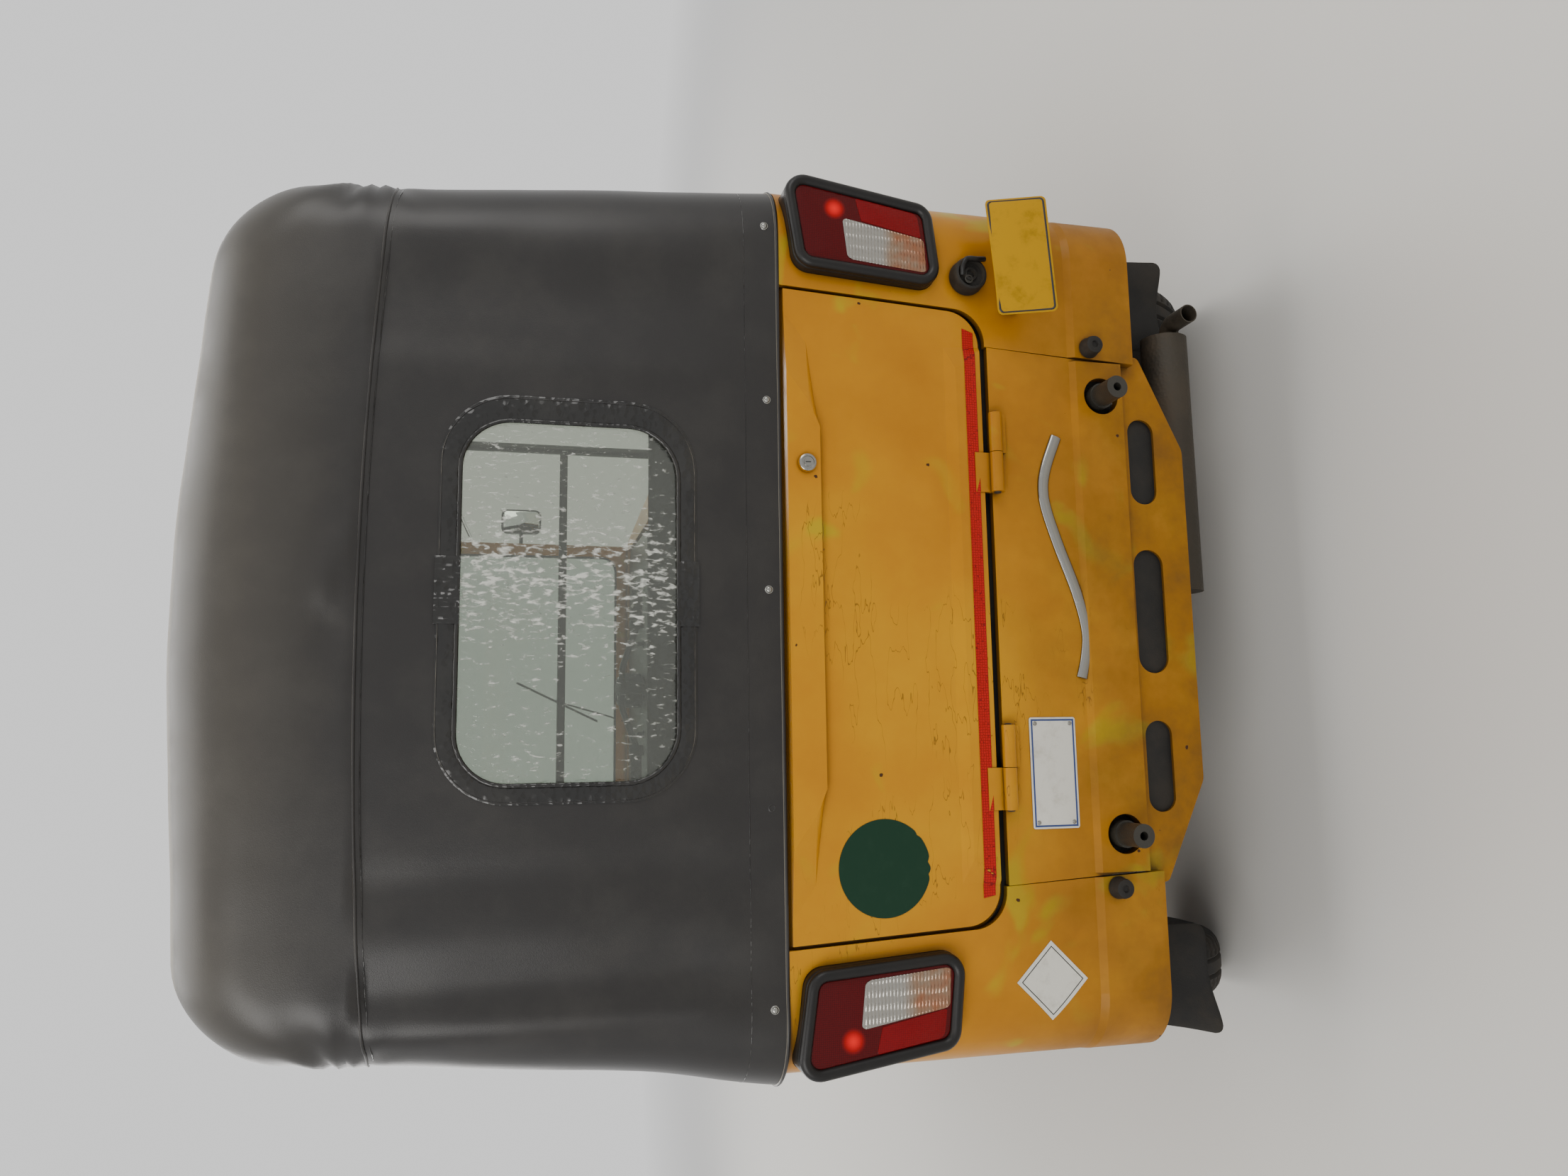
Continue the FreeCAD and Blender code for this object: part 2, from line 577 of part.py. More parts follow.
# Rear quarter panels: side, rounded corner, rear wrap and wheel arch
def lamp_outline(grow, rounding="lamp_corner"):
    """The tail lamp housing seen from behind, made larger all round by grow."""
    return [("lamp_in_low - (%s)" % grow, "lamp_low - (%s)" % grow, rounding),
            ("lamp_out_low + (%s)" % grow, "lamp_low + lamp_low_rise - (%s)" % grow, rounding),
            ("lamp_out_top + (%s)" % grow, "lamp_top + lamp_out_rise + (%s)" % grow, rounding),
            ("lamp_in_top - (%s)" % grow, "lamp_top - lamp_in_drop + (%s)" % grow, rounding)]


def skirt_plan(side, proud):
    """The rear wrap and its corner from above, standing proud of the rear face."""
    outer, inner = "body_width/2", "body_width/2 - panel_wall"
    start = "rear_face - corner_round - 10"
    return mirrored([("panel_low_half + 1", "rear_face + " + proud),
                     (outer, "rear_face + " + proud, "corner_round"), (outer, start),
                     (inner, start), (inner, "rear_face - panel_wall", "corner_round - panel_wall"),
                     ("panel_low_half + 1", "rear_face - panel_wall")], side)


def rear_quarters():
    made = []
    for name, side in SIDES.items():
        body = new_body("rear_quarter_" + name)
        half, wall = "body_width/2", "panel_wall"
        prism(body, "XY", "body_low", "canopy_foot",
              mirrored([("panel_low_half + 1", "sill_rear"), (half, "sill_rear"),
                        (half, "rear_face", "corner_round"),
                        ("panel_low_half + 1", "rear_face")], side))
        inside = "%s - %s" % (half, wall)
        cut(body, "XY", "body_low", "canopy_foot",
            mirrored([("panel_low_half", "sill_rear - 1"), (inside, "sill_rear - 1"),
                      (inside, "rear_face - panel_wall", "corner_round - panel_wall"),
                      ("panel_low_half", "rear_face - panel_wall")], side))
        # below the crease the wrap stands proud
        prism(body, "XY", "body_low", "crease_height", skirt_plan(side, "crease_proud"))
        loft(body, "Additive", "XY",
             [("crease_height", skirt_plan(side, "crease_proud")),
              ("crease_height + 2*crease_proud", skirt_plan(side, "0"))])
        # rear wrap ends beside the lid and the lower panel
        low, high = "rear_face - panel_wall - 1", "rear_face + crease_proud + 1"
        cut(body, "XZ", low, high,
            mirrored([("panel_low_half - 4", "body_low - 1"), ("panel_low_half + 1", "body_low - 1"),
                      ("panel_half + 1", "panel_top + 4"),
                      ("lid_low_half + joint_gap - (lid_half - lid_low_half)"
                       "*(lid_low - panel_top - 4)/(canopy_foot - lid_low)", "panel_top + 4",
                       "lid_round"),
                      ("lid_half + joint_gap", "canopy_foot + 1"),
                      ("panel_low_half - 4", "canopy_foot + 1")], side))
        near, far = between(side, "body_width/2 - panel_wall - 1", "body_width/2 + 1")
        cut(body, "YZ", near, far,
            [("sill_rear - 1", "shoulder_height"), ("sill_rear + 40", "shoulder_height", "60"),
             ("shoulder_rear", "canopy_foot - 20", "40"), ("shoulder_rear + 4", "canopy_foot + 1"),
             ("sill_rear - 1", "canopy_foot + 1")])
        # the wheelhouse is a half ring that stands in the arch
        low, high = between(side, "arch_inner", "body_width/2 - panel_wall + 1")
        extrude(body, "Pad", "YZ", low, high, circles=[
            ("rear_axle", "tyre_radius", "arch_radius"),
            ("rear_axle", "tyre_radius", "arch_radius + arch_wall")])
        low, high = between(side, "arch_inner - 1", "body_width/2 + 1")
        cut(body, "YZ", low, high,
            [("rear_axle - arch_radius - 20", "-arch_radius"),
             ("rear_axle + arch_radius + 20", "-arch_radius"),
             ("rear_axle + arch_radius + 20", "body_low"),
             ("rear_axle - arch_radius - 20", "body_low")])
        low, high = between(side, "body_width/2 - panel_wall - 1", "body_width/2 + 1")
        drill(body, "YZ", low, high, ("rear_axle", "tyre_radius", "arch_radius"))
        cut(body, "XZ", "rear_face - lamp_deep", "rear_face + 1",
            mirrored(lamp_outline("0.5"), side))
        if name == "right":
            plate_bracket(body)
        made.append(body)
    return made


def plate_bracket(body):
    """Adds the number plate's bracket: a bar with two bolt holes on two short arms."""
    low, high = "bracket_height - bracket_tall/2", "bracket_height + bracket_tall/2"
    left = "-bracket_across - bracket_width/2"
    right = "-bracket_across + bracket_width/2"
    prism(body, "XZ", "bracket_reach - bracket_thick", "bracket_reach",
          box_outline(left, low, right, high))
    for edge in (left, right + " - bracket_thick"):
        prism(body, "XZ", "rear_face - panel_wall - 7", "bracket_reach - 1",
              box_outline(edge, low, edge + " + bracket_thick", high))
    drill(body, "XZ", "bracket_reach - bracket_thick - 1", "bracket_reach + 1",
          *[("-bracket_across + %s*plate_bolts/2" % sign, "bracket_height", "plate_bolt_radius")
            for sign in (-1, 1)])


def tail_lamps():
    made = []
    for name, side in SIDES.items():
        body = new_body("tail_lamp_" + name)
        prism(body, "XZ", "rear_face - lamp_deep + 1", "rear_face + lamp_proud",
              mirrored(lamp_outline("0"), side))
        cut(body, "XZ", "rear_face + lens_seat", "rear_face + lamp_proud + 1",
            mirrored(lamp_outline("-lens_border", "lens_corner"), side))
        soften(body, "lamp_bead", lambda edge: on_level(edge, value("rear_face + lamp_proud")))
        lens = new_body("lamp_lens_" + name)
        prism(lens, "XZ", "rear_face + lens_seat", "rear_face + lens_proud",
              mirrored(lamp_outline("-lens_border - seat_gap", "lens_corner"), side))
        made += [body, lens]
    return made


# Rear lid, the panel below it and their hinge knuckles
def ledge_outline(drawn_in, top):
    """The lid's ledge seen from behind, with its two ends drawn in."""
    half = [("ledge_half", "ledge_low"),
            ("ledge_shoulder - (%s)" % drawn_in, "ledge_low + ledge_rise"),
            ("ledge_tip - (%s)" % drawn_in, top)]
    return [("-1*(%s)" % across, up) for across, up in half[::-1]] + half


def rear_lid():
    body = new_body("rear_lid")
    top = "canopy_foot - joint_gap"
    prism(body, "XZ", "rear_face - panel_wall", "rear_face",
          [("-lid_low_half", "lid_low", "lid_round"), ("lid_low_half", "lid_low", "lid_round"),
           ("lid_half", top), ("-lid_half", top)])
    # the ledge's two ends fade into the lid
    loft(body, "Additive", "XZ",
         [("rear_face - 1", ledge_outline("0", top)),
          ("rear_face + ledge_proud", ledge_outline("ledge_fade", top))])
    foot = "lid_low_half - lid_round"
    crest = "lip_half + 2*lip_slope"
    loft(body, "Additive", "XZ",
         [("rear_face - 1", [("-lid_low_half + lid_round", "lid_low"), (foot, "lid_low"),
                             (crest, "lip_top + lip_slope"),
                             ("-lip_half - 2*lip_slope", "lip_top + lip_slope")]),
          ("rear_face + lip_proud", [("-lid_low_half + lid_round + 9", "lid_low"),
                                     (foot + " - 9", "lid_low"), ("lip_half", "lip_top"),
                                     ("-lip_half", "lip_top")])])
    rod(body, "XZ", "rear_face + ledge_proud - 1", "rear_face + ledge_proud + 6",
        "-lock_across", "lock_height", "lock_radius")
    for side in SIDES.values():
        centre = "%d*hinge_across" % side
        prism(body, "XZ", "rear_face - 0.5", "rear_face + leaf_thick",
              box_outline(centre + " + 0.5", "panel_top + 3",
                          centre + " + knuckle_length", "lid_low + leaf_lap"))
        rod(body, "YZ", centre + " + 0.5", centre + " + knuckle_length",
            "rear_face + hinge_proud", "hinge_height", "knuckle_radius")
        drill(body, "YZ", centre, centre + " + knuckle_length + 1",
              ("rear_face + hinge_proud", "hinge_height", "hinge_pin + run_gap"))
    return body


def lower_rear_panel():
    body = new_body("lower_rear_panel")
    prism(body, "XZ", "rear_face - panel_wall", "rear_face",
          [("-panel_low_half", "panel_low"), ("panel_low_half", "panel_low"),
           ("panel_half", "panel_top"), ("-panel_half", "panel_top")])
    prism(body, "YZ", "-panel_low_half", "panel_low_half",
          [("rear_face - 1", "panel_low"), ("rear_face + crease_proud", "panel_low"),
           ("rear_face + crease_proud", "crease_height"),
           ("rear_face - 1", "crease_height + 2*crease_proud")])
    for side in SIDES.values():
        drill(body, "XZ", "rear_face - panel_wall - 1", "rear_face + crease_proud + 1",
              ("%d*pipe_across" % side, "pipe_height", "pipe_hole"))
        centre = "%d*hinge_across" % side
        prism(body, "XZ", "rear_face - 1", "rear_face + leaf_thick",
              box_outline(centre + " - knuckle_length", "hinge_height - leaf_tall",
                          centre + " - 0.5", "hinge_height"))
        rod(body, "YZ", centre + " - knuckle_length", centre + " - 0.5",
            "rear_face + hinge_proud", "hinge_height", "knuckle_radius")
        rod(body, "YZ", centre + " - knuckle_length", centre + " + knuckle_length - 2",
            "rear_face + hinge_proud", "hinge_height", "hinge_pin")
    return body


def rear_bumper():
    body = new_body("rear_bumper")
    back = "rear_face - panel_wall - seat_gap"
    front = back + " - bumper_thick"
    prism(body, "XZ", front, back,
          [("-bumper_top_half", "bumper_top"), ("-bumper_tip_half", "bumper_tip", "12"),
           ("-bumper_low_half", "bumper_low", "30"), ("bumper_low_half", "bumper_low", "30"),
           ("bumper_tip_half", "bumper_tip", "12"), ("bumper_top_half", "bumper_top")])
    prism(body, "XZ", front, back,
          box_outline("-rail_offset - rail_width/2", "bumper_top - 1",
                      "rail_offset + rail_width/2", "panel_low + bumper_lap"))
    cut(body, "XZ", front, back,
        box_outline("-slot_half", "bumper_tip - slot_radius", "slot_half",
                    "bumper_tip + slot_radius", "slot_radius - 0.5"))
    for side in SIDES.values():
        low, high = between(side, "side_slot_near", "side_slot_far")
        cut(body, "XZ", front, back,
            box_outline(low, "bumper_tip - side_slot_radius", high,
                        "bumper_tip + side_slot_radius", "side_slot_radius - 0.5"))
    return body


def rear_stays():
    made = []
    for name, side in SIDES.items():
        body = new_body("rear_stay_" + name)
        centre = "%d*pipe_across" % side
        rod(body, "XZ", "pipe_start", "stay_reach", centre, "pipe_height", "pipe_radius")
        rod(body, "XZ", "pipe_start", "rear_face + crease_proud + 4", centre, "pipe_height",
            "pipe_root")
        low, high = between(side, "rail_offset - rail_width/2", "pipe_across + 14")
        prism(body, "XZ", "pipe_start", "pipe_start + 60",
              box_outline(low, "rail_high", high, "pipe_height - pipe_radius/2"))
        drill(body, "XZ", "stay_reach - 40", "stay_reach + 1",
              (centre, "pipe_height", "tip_bore"))
        made.append(body)
    return made


# Seat base, bulkhead and deck over the engine
def rear_bulkhead():
    body = new_body("rear_bulkhead")
    wall = "panel_wall"
    prism(body, "YZ", "-bench_half", "bench_half",
          [("bench_front", "floor_top"), ("bench_front + " + wall, "floor_top"),
           ("bench_front + " + wall, "bench_base - " + wall),
           ("bulkhead_place", "bench_base - " + wall), ("bulkhead_place", "floor_top"),
           ("bulkhead_place + " + wall, "floor_top"),
           ("bulkhead_place + " + wall, "deck_top - " + wall),
           ("deck_rear", "deck_top - " + wall), ("deck_rear", "deck_top"),
           ("bulkhead_place", "deck_top"), ("bulkhead_place", "bench_base"),
           ("bench_front", "bench_base")])
    for side in SIDES.values():
        low, high = between(side, "bench_half - 1", "deck_half")
        prism(body, "YZ", low, high,
              box_outline("bulkhead_place", "deck_top - " + wall, "shelf_rear", "deck_top"))
        # the deck is notched beside the lamp
        low, high = between(side, "lamp_in_low - joint_gap", "bench_half + 1")
        cut(body, "XY", "deck_top - %s - 1" % wall, "deck_top + 1",
            box_outline(low, "shelf_rear", high, "deck_rear + 1"))
    return body


def seats():
    driver = new_body("driver_seat")
    prism(driver, "XY", "driver_base + seat_gap", "driver_top",
          box_outline("-driver_half", "-driver_front", "driver_half", "-driver_back", "50"))
    soften(driver, "cushion_round", lambda edge: abs(edge.BoundBox.ZMin - value("driver_top")) < 1)
    bench = new_body("passenger_cushion")
    prism(bench, "XY", "bench_base + seat_gap", "bench_top",
          box_outline("-bench_half", "bench_front + 2", "bench_half",
                      "bulkhead_place - seat_gap", "30"))
    soften(bench, "cushion_round", lambda edge: abs(edge.BoundBox.ZMin - value("bench_top")) < 1)
    back = new_body("passenger_backrest")
    rear = "bulkhead_place - seat_gap"
    prism(back, "XZ", rear + " - back_thick", rear,
          box_outline("-bench_half", "bench_top + seat_gap", "bench_half", "back_top", "40"))
    soften(back, "cushion_round",
           lambda edge: abs(edge.BoundBox.YMax - value(rear + " - back_thick")) < 1)
    return [driver, bench, back]


def driver_bulkhead():
    body = new_body("driver_bulkhead")
    prism(body, "XZ", "-partition_place - panel_wall", "-partition_place",
          box_outline("-partition_half", "floor_top", "partition_half", "partition_top"))
    wall = "panel_wall"
    prism(body, "YZ", "-driver_half - 40", "driver_half + 40",
          [("-driver_front", "floor_top"), ("-driver_front + " + wall, "floor_top"),
           ("-driver_front + " + wall, "driver_base - " + wall),
           ("-partition_place - 5", "driver_base - " + wall),
           ("-partition_place - 5", "driver_base"), ("-driver_front", "driver_base")])
    for side in SIDES.values():
        low, high = between(side, "driver_half + 40 - panel_wall", "driver_half + 40")
        prism(body, "YZ", low, high,
              box_outline("-driver_front + 1", "floor_top", "-partition_place - 5",
                          "driver_base - 1"))
    return body


# Canopy with its hoops and rear window
def roof_section(low_half, low, seam_half, seam, edge_half, edge, apex, inset,
                 rounding="roof_round"):
    """A cross-section of the roof, set in by a wall."""
    low_half, seam_half, edge_half = ["(%s - %s)" % (half, inset)
                                      for half in (low_half, seam_half, edge_half)]
    side = [(low_half, low), (seam_half, seam, "side_bow"),
            (edge_half, "%s - %s" % (edge, inset), rounding + " - " + inset)]
    return (side + [("0", "%s - %s" % (apex, inset), "roof_arch")]
            + [("-1*" + corner[0],) + corner[1:] for corner in reversed(side)])


def eased(full, end):
    """A size of the roof halfway along its fall to the header."""
    return "(%s - roof_ease*(%s - (%s)))" % (full, full, end)


# front edge of the canopy, just ahead of the windscreen's top
HEADER = "-nose_reach + screen_back + screen_rise*tan(screen_rake) - header_lap"


def canopy_form(label, inset):
    """The canopy's filled form, set in by a wall, with its rear edge rounded above the foot."""
    body = new_body(label)
    foot, rear = "canopy_foot + seat_gap", "rear_face - " + inset
    header = "cowl_top + screen_rise"
    ends = ["header_half + 30", "header_half + 4", header + " - 200", "header_half",
            header + " + canopy_wall + 1", header + " + canopy_wall + 14", "header_round"]
    full = roof_section("canopy_low_half", foot, "canopy_seam_half", "canopy_seam",
                        "roof_edge_half", "roof_edge", "roof_apex", inset)
    middle = roof_section(eased("canopy_low_half", ends[0]), foot,
                          eased("canopy_seam_half", ends[1]), eased("canopy_seam", ends[2]),
                          eased("roof_edge_half", ends[3]), eased("roof_edge", ends[4]),
                          eased("roof_apex", ends[5]), inset, eased("roof_round", ends[6]))
    front = roof_section(ends[0], foot, *ends[1:6], inset, ends[6])
    loft(body, "Additive", "XZ",
         [(rear, full), ("-roof_straight", full), ("-roof_middle", middle), (HEADER, front)])
    soften(body, "corner_round - " + inset,
           lambda edge: on_level(edge, value(rear)) and edge.BoundBox.ZMax > value(foot) + 1)
    return body


def canopy():
    inside = canopy_form("canopy_inside", "canopy_wall")
    body = canopy_form("canopy", "0")
    hollow = body.newObject("PartDesign::Boolean", "canopy_hollow")
    hollow.Type = "Cut"
    hollow.addObject(inside)
    cut(body, "YZ", "-canopy_low_half - 1", "canopy_low_half + 1",
        [(HEADER + " - 5", "canopy_foot"), ("side_drop_front", "canopy_foot"),
         ("side_drop_front", "valance", "120"), ("-roof_straight", "valance", "400"),
         (HEADER + " - 5", "valance_front")])
    cut(body, "XZ", "rear_face - canopy_wall - 1", "rear_face + 1",
        box_outline("-window_half", "window_low", "window_half", "window_high", "window_round"))
    return body


def rear_window():
    body = new_body("rear_window")
    prism(body, "XZ", "rear_face - window_thick - 1", "rear_face - 1",
          box_outline("-window_half + seat_gap", "window_low + seat_gap",
                      "window_half - seat_gap", "window_high - seat_gap",
                      "window_round - seat_gap"))
    return body


def canopy_frame():
    body = new_body("canopy_frame")
    inset = "(canopy_wall + seat_gap + hoop_radius)"
    front_hoop = "-partition_place + hoop_radius + seat_gap"
    # place along the vehicle, height of the feet
    hoops = [(front_hoop, "floor_top"), ("middle_hoop", "floor_top"), ("rear_hoop", "deck_top")]
    leg = "(roof_edge_half - %s)" % inset
    corner = "roof_edge - " + inset
    bend = "roof_round - " + inset
    for place, foot in hoops:
        bent_bar(body, "XZ", place,
                 [("-1*" + leg, foot), ("-1*" + leg, corner, bend),
                  ("0", "roof_apex - " + inset, "roof_arch"), (leg, corner, bend), (leg, foot)],
                 "XY", "hoop_radius")
    level = "%s + (roof_apex - roof_edge)*(1 - roof_rail_across/%s)" % (corner, leg)
    header_rear = "-nose_reach + screen_back + screen_rise*tan(screen_rake) + screen_thick/2 + 2.5"
    for side in SIDES.values():
        bent_bar(body, "YZ", "%d*roof_rail_across" % side,
                 [("rear_hoop", level), ("-roof_straight", level, "300"),
                  (header_rear, "cowl_top + screen_rise - roof_rail_radius - 4")],
                 "XZ", "roof_rail_radius")
    for rise in ("partition_rail_low", "partition_rail_high"):
        rod(body, "YZ", "-1*" + leg, leg, front_hoop, "partition_top + " + rise,
            "hoop_radius - 2")
    return body


# Engine, muffler and rear suspension
def engine_block():
    body = new_body("engine_block")
    prism(body, "XZ", "engine_front", "engine_rear",
          box_outline("-engine_half", "engine_low", "engine_half", "engine_top", "30"))
    for side in SIDES.values():
        low, high = between(side, "engine_half - 1", "shaft_inner - seat_gap")
        rod(body, "YZ", low, high, "rear_axle", "tyre_radius", "output_radius")
    return body


def muffler():
    body = new_body("muffler")
    rod(body, "YZ", "-muffler_far", "-muffler_near", "muffler_place", "muffler_height",
        "muffler_radius")
    bent_bar(body, "YZ", "-down_across",
             [("engine_rear", "down_height"), ("muffler_place", "down_height", "30"),
              ("muffler_place", "muffler_height")], "XZ", "down_radius")
    bent_bar(body, "XY", "muffler_height - 12",
             [("-muffler_far + 4", "muffler_place"), ("-muffler_far - tail_out", "muffler_place",
                                                     "20"),
              ("-muffler_far - tail_out", "tail_reach")], "YZ", "tail_radius")
    drill(body, "XZ", "tail_reach - 40", "tail_reach + 1",
          ("-muffler_far - tail_out", "muffler_height - 12", "tail_radius - 2"))
    prism(body, "XZ", "muffler_place - 15", "muffler_place + 15",
          box_outline("-rail_offset - 12", "muffler_height", "-rail_offset + 12", "rail_low"))
    return body


def coil_profile(low, high, rings, outer):
    """Half the section of a rod with a stack of round coils: (across, up) corners."""
    pitch = "((%s)-(%s))/%d" % (high, low, rings)
    corners = [("0", low), (outer, low)]
    for ring in range(rings):
        start = "(%s) + %s*%d" % (low, pitch, ring)
        corners += [(outer, "%s + %s*0.55" % (start, pitch)),
                    ("%s*0.72" % outer, "%s + %s*0.7" % (start, pitch)),
                    ("%s*0.72" % outer, "%s + %s*0.85" % (start, pitch)),
                    (outer, "%s + %s" % (start, pitch))]
    return corners + [("0", high)]


def strut(body, plane, level, centre, low, high, outer):
    """Adds an upright spring damper turned about its own line."""
    sketch = new_sketch(body, plane, level)
    draw_outline(sketch, [("%s + %s" % (centre, corner[0]), corner[1])
                          for corner in coil_profile(low, high, int(value("coil_rings")), outer)])
    foot = Vector(value(centre), value(low), 0)
    axis = sketch.addGeometry(Part.LineSegment(foot, foot + Vector(0, 50, 0)), True)
    constrain(sketch, [(("Vertical", axis), None),
                       (("DistanceX", -1, 1, axis, 1), centre),
                       (("DistanceY", -1, 1, axis, 1), low),
                       (("DistanceY", axis, 1, axis, 2), "50")])
    feature = body.newObject("PartDesign::Revolution", body.Label + "_strut")
    feature.Profile = sketch
    feature.ReferenceAxis = (sketch, ["Axis0"])
    feature.Angle = 360


def rear_arms():
    made = []
    for name, side in SIDES.items():
        body = new_body("rear_arm_" + name)
        low, high = between(side, "arm_across", "arm_across + arm_wide")
        rod(body, "YZ", low, high, "arm_pivot", "arm_pivot_height", "arm_boss")
        prism(body, "YZ", low, high,
              [("arm_pivot", "arm_pivot_height - arm_boss + 4"),
               ("rear_axle", "tyre_radius - 40"), ("rear_axle", "tyre_radius + 40"),
               ("arm_pivot", "arm_pivot_height + arm_boss - 4")])
        hub_low, hub_high = between(side, "arm_across", "arm_hub_end")
        rod(body, "YZ", hub_low, hub_high, "rear_axle", "tyre_radius", "arm_hub")
        drill(body, "YZ", low + " - 1", high + " + 1",
              ("arm_pivot", "arm_pivot_height", "pivot_radius + run_gap"))
        strut(body, "XZ", "rear_axle", "%d*damper_across" % side, "tyre_radius + arm_hub - 8",
              "damper_top", "damper_radius")
        drill(body, "YZ", hub_low + " - 1", hub_high + " + 1",
              ("rear_axle", "tyre_radius", "shaft_radius + run_gap"))
        made.append(body)
    return made


def mud_flaps():
    made = []
    near = ("rear_axle + sqrt((arch_radius + arch_wall)^2 - (body_low - tyre_radius)^2)"
            " + seat_gap")
    for name, side in SIDES.items():
        body = new_body("mud_flap_" + name)
        low, high = between(side, "arch_inner + 20", "arch_inner + 20 + flap_wide")
        prism(body, "XZ", near, near + " + flap_thick",
              box_outline(low, "flap_low", high, "flap_high"))
        made.append(body)
    return made


# Wheels: tyre, disc rim and hub, drawn about their own axle
def place_body(body, across, along, height):
    """Puts a body's own origin at a place in the vehicle."""
    for axis, formula in zip("xyz", (across, along, height)):
        body.setExpression("Placement.Base." + axis, bound(formula))


def tyre(name, across, along):
    """A hollow tyre whose beads sit between the rim's flanges."""
    body = new_body("tyre_" + name)
    seat, half = "rim_radius + seat_gap", "tyre_width/2"
    bead, flange = "(rim_width/2 - rim_wall - 1)", "rim_radius + rim_flange + 2"
    wide = "rim_radius + 64"
    under = "tyre_radius - tread_wall"
    # across and radius of one half of the section: outside from bead to crown, then inside
    outside = [(bead, seat), (bead, flange), (half, wide, "50"),
               (half + " - 8", "tyre_radius - 16", "16"), (half + "*0.5", "tyre_radius", "60")]
    inside = [("0", under, "300"), (half + " - 4 - tyre_wall", under + " - 4", "12"),
              (half + " - tyre_wall", wide, "40"), (bead + " - tyre_wall", flange),
              (bead + " - tyre_wall", seat)]
    left_outside = [("-1*(%s)" % corner[0],) + corner[1:] for corner in outside]
    left_inside = [("-1*(%s)" % corner[0],) + corner[1:] for corner in inside[1:]]
    revolve(body, "XZ", outside + left_outside[::-1] + left_inside[::-1] + inside)
    place_body(body, across, along, "tyre_radius")
    return body


def rim(name, across, along, side):
    """A rim; a rear one (side 1 or -1) carries its half shaft, the front one (0) has a bore."""
    body = new_body("rim_" + name)
    half, seat, flange = "rim_width/2", "rim_radius", "rim_radius + rim_flange"
    well = "rim_radius - rim_well"
    revolve(body, "XZ",
            [("-" + half, flange), ("-%s + rim_wall" % half, flange),
             ("-%s + rim_wall" % half, seat), ("-18", seat), ("-12", well), ("12", well),
             ("18", seat), ("%s - rim_wall" % half, seat), ("%s - rim_wall" % half, flange),
             (half, flange), (half, seat + " - rim_wall"), ("20", seat + " - rim_wall"),
             ("14", well + " - rim_wall"), ("-14", well + " - rim_wall"),
             ("-20", seat + " - rim_wall"), ("-" + half, seat + " - rim_wall")])
    face = side if side else -1
    low, high = between(face, "disc_offset - disc_wall", "disc_offset")
    rod(body, "YZ", low, high, "0", "0", well + " - rim_wall + 2")
    count = int(value("vent_count"))
    drill(body, "YZ", low + " - 1", high + " + 1",
          *[("vent_ring*cos(%g)" % (360 * index / count), "vent_ring*sin(%g)" % (360 * index / count),
             "vent_radius") for index in range(count)])
    low, high = between(face, "disc_offset - hub_length", "disc_offset + 8")
    rod(body, "YZ", low, high, "0", "0", "hub_radius")
    if side:
        low, high = between(side, "shaft_inner - wheel_track/2", "0")
        rod(body, "YZ", low, high, "0", "0", "shaft_radius")
    else:
        drill(body, "YZ", low + " - 1", high + " + 1", ("0", "0", "stub_radius + run_gap"))
    place_body(body, across, along, "tyre_radius")
    return body


def wheels():
    made = []
    for name, side in SIDES.items():
        across = "%d*wheel_track/2" % side
        made += [tyre("rear_" + name, across, "rear_axle"),
                 rim("rear_" + name, across, "rear_axle", side)]
    return made + [tyre("front", "0", "-front_axle"), rim("front", "0", "-front_axle", 0)]


# Steering: everything below is drawn about the steering axis and then raked
AXLE_BACK = "(head_place - front_axle)*cos(rake) - (tyre_radius - head_height)*sin(rake)"
AXLE_DOWN = "(head_place - front_axle)*sin(rake) + (tyre_radius - head_height)*cos(rake)"


def rake_body(body):
    """Tilts a body drawn about the steering axis and puts it at the head."""
    body.Placement = Placement(Vector(0, 0, 0), Rotation(Vector(1, 0, 0), -1))
    body.setExpression("Placement.Rotation.Angle", bound("-rake"))
    place_body(body, "0", "-head_place", "head_height")


def front_fork():
    body = new_body("front_fork")
    crown = "-head_bottom - 6"
    under = crown + " - crown_thick"
    rod(body, "XY", crown + " - 4", "bar_height - 22", "0", "0", "column_radius")
    damper_back = "(%s + 12)" % AXLE_BACK
    prism(body, "XY", under, crown,
          box_outline("-36", "-34", "leg_offset + front_damper_radius + 5",
                      damper_back + " + front_damper_radius + 5", "20"))
    guard_top = "%s + sqrt((guard_radius + guard_wall)^2 - (%s)^2)" % (AXLE_DOWN, AXLE_BACK)
    rod(body, "XY", "%s + seat_gap + guard_stem*0.17" % guard_top, under + " + 2", "0", "0",
        "guard_stem")
    bent_bar(body, "YZ", "leg_offset",
             [("0", under + " + 2"), ("0", under + " - leg_length", "60"),
              ("-link_ahead", AXLE_DOWN)], "XY", "leg_radius")
    low, high = "leg_offset - link_wall/2", "leg_offset + link_wall/2"
    rod(body, "YZ", low, high, "-link_ahead", AXLE_DOWN, "link_radius")
    prism(body, "YZ", low, high,
          [("-link_ahead", AXLE_DOWN + " - link_radius + 6"),
           (AXLE_BACK, AXLE_DOWN + " - link_radius + 4"),
           (AXLE_BACK, AXLE_DOWN + " + link_radius - 4"),
           ("-link_ahead", AXLE_DOWN + " + link_radius - 6")])
    rod(body, "YZ", low, high, AXLE_BACK, AXLE_DOWN, "link_radius + 8")
    rod(body, "YZ", "-disc_offset - 20", "leg_offset", AXLE_BACK, AXLE_DOWN, "stub_radius")
    rod(body, "YZ", "hub_length - disc_offset + 5", low + " + 1", AXLE_BACK, AXLE_DOWN,
        "drum_radius")
    strut(body, "YZ", "leg_offset", damper_back, AXLE_DOWN + " + link_radius", under + " + 1",
          "front_damper_radius")
    rake_body(body)
    return body


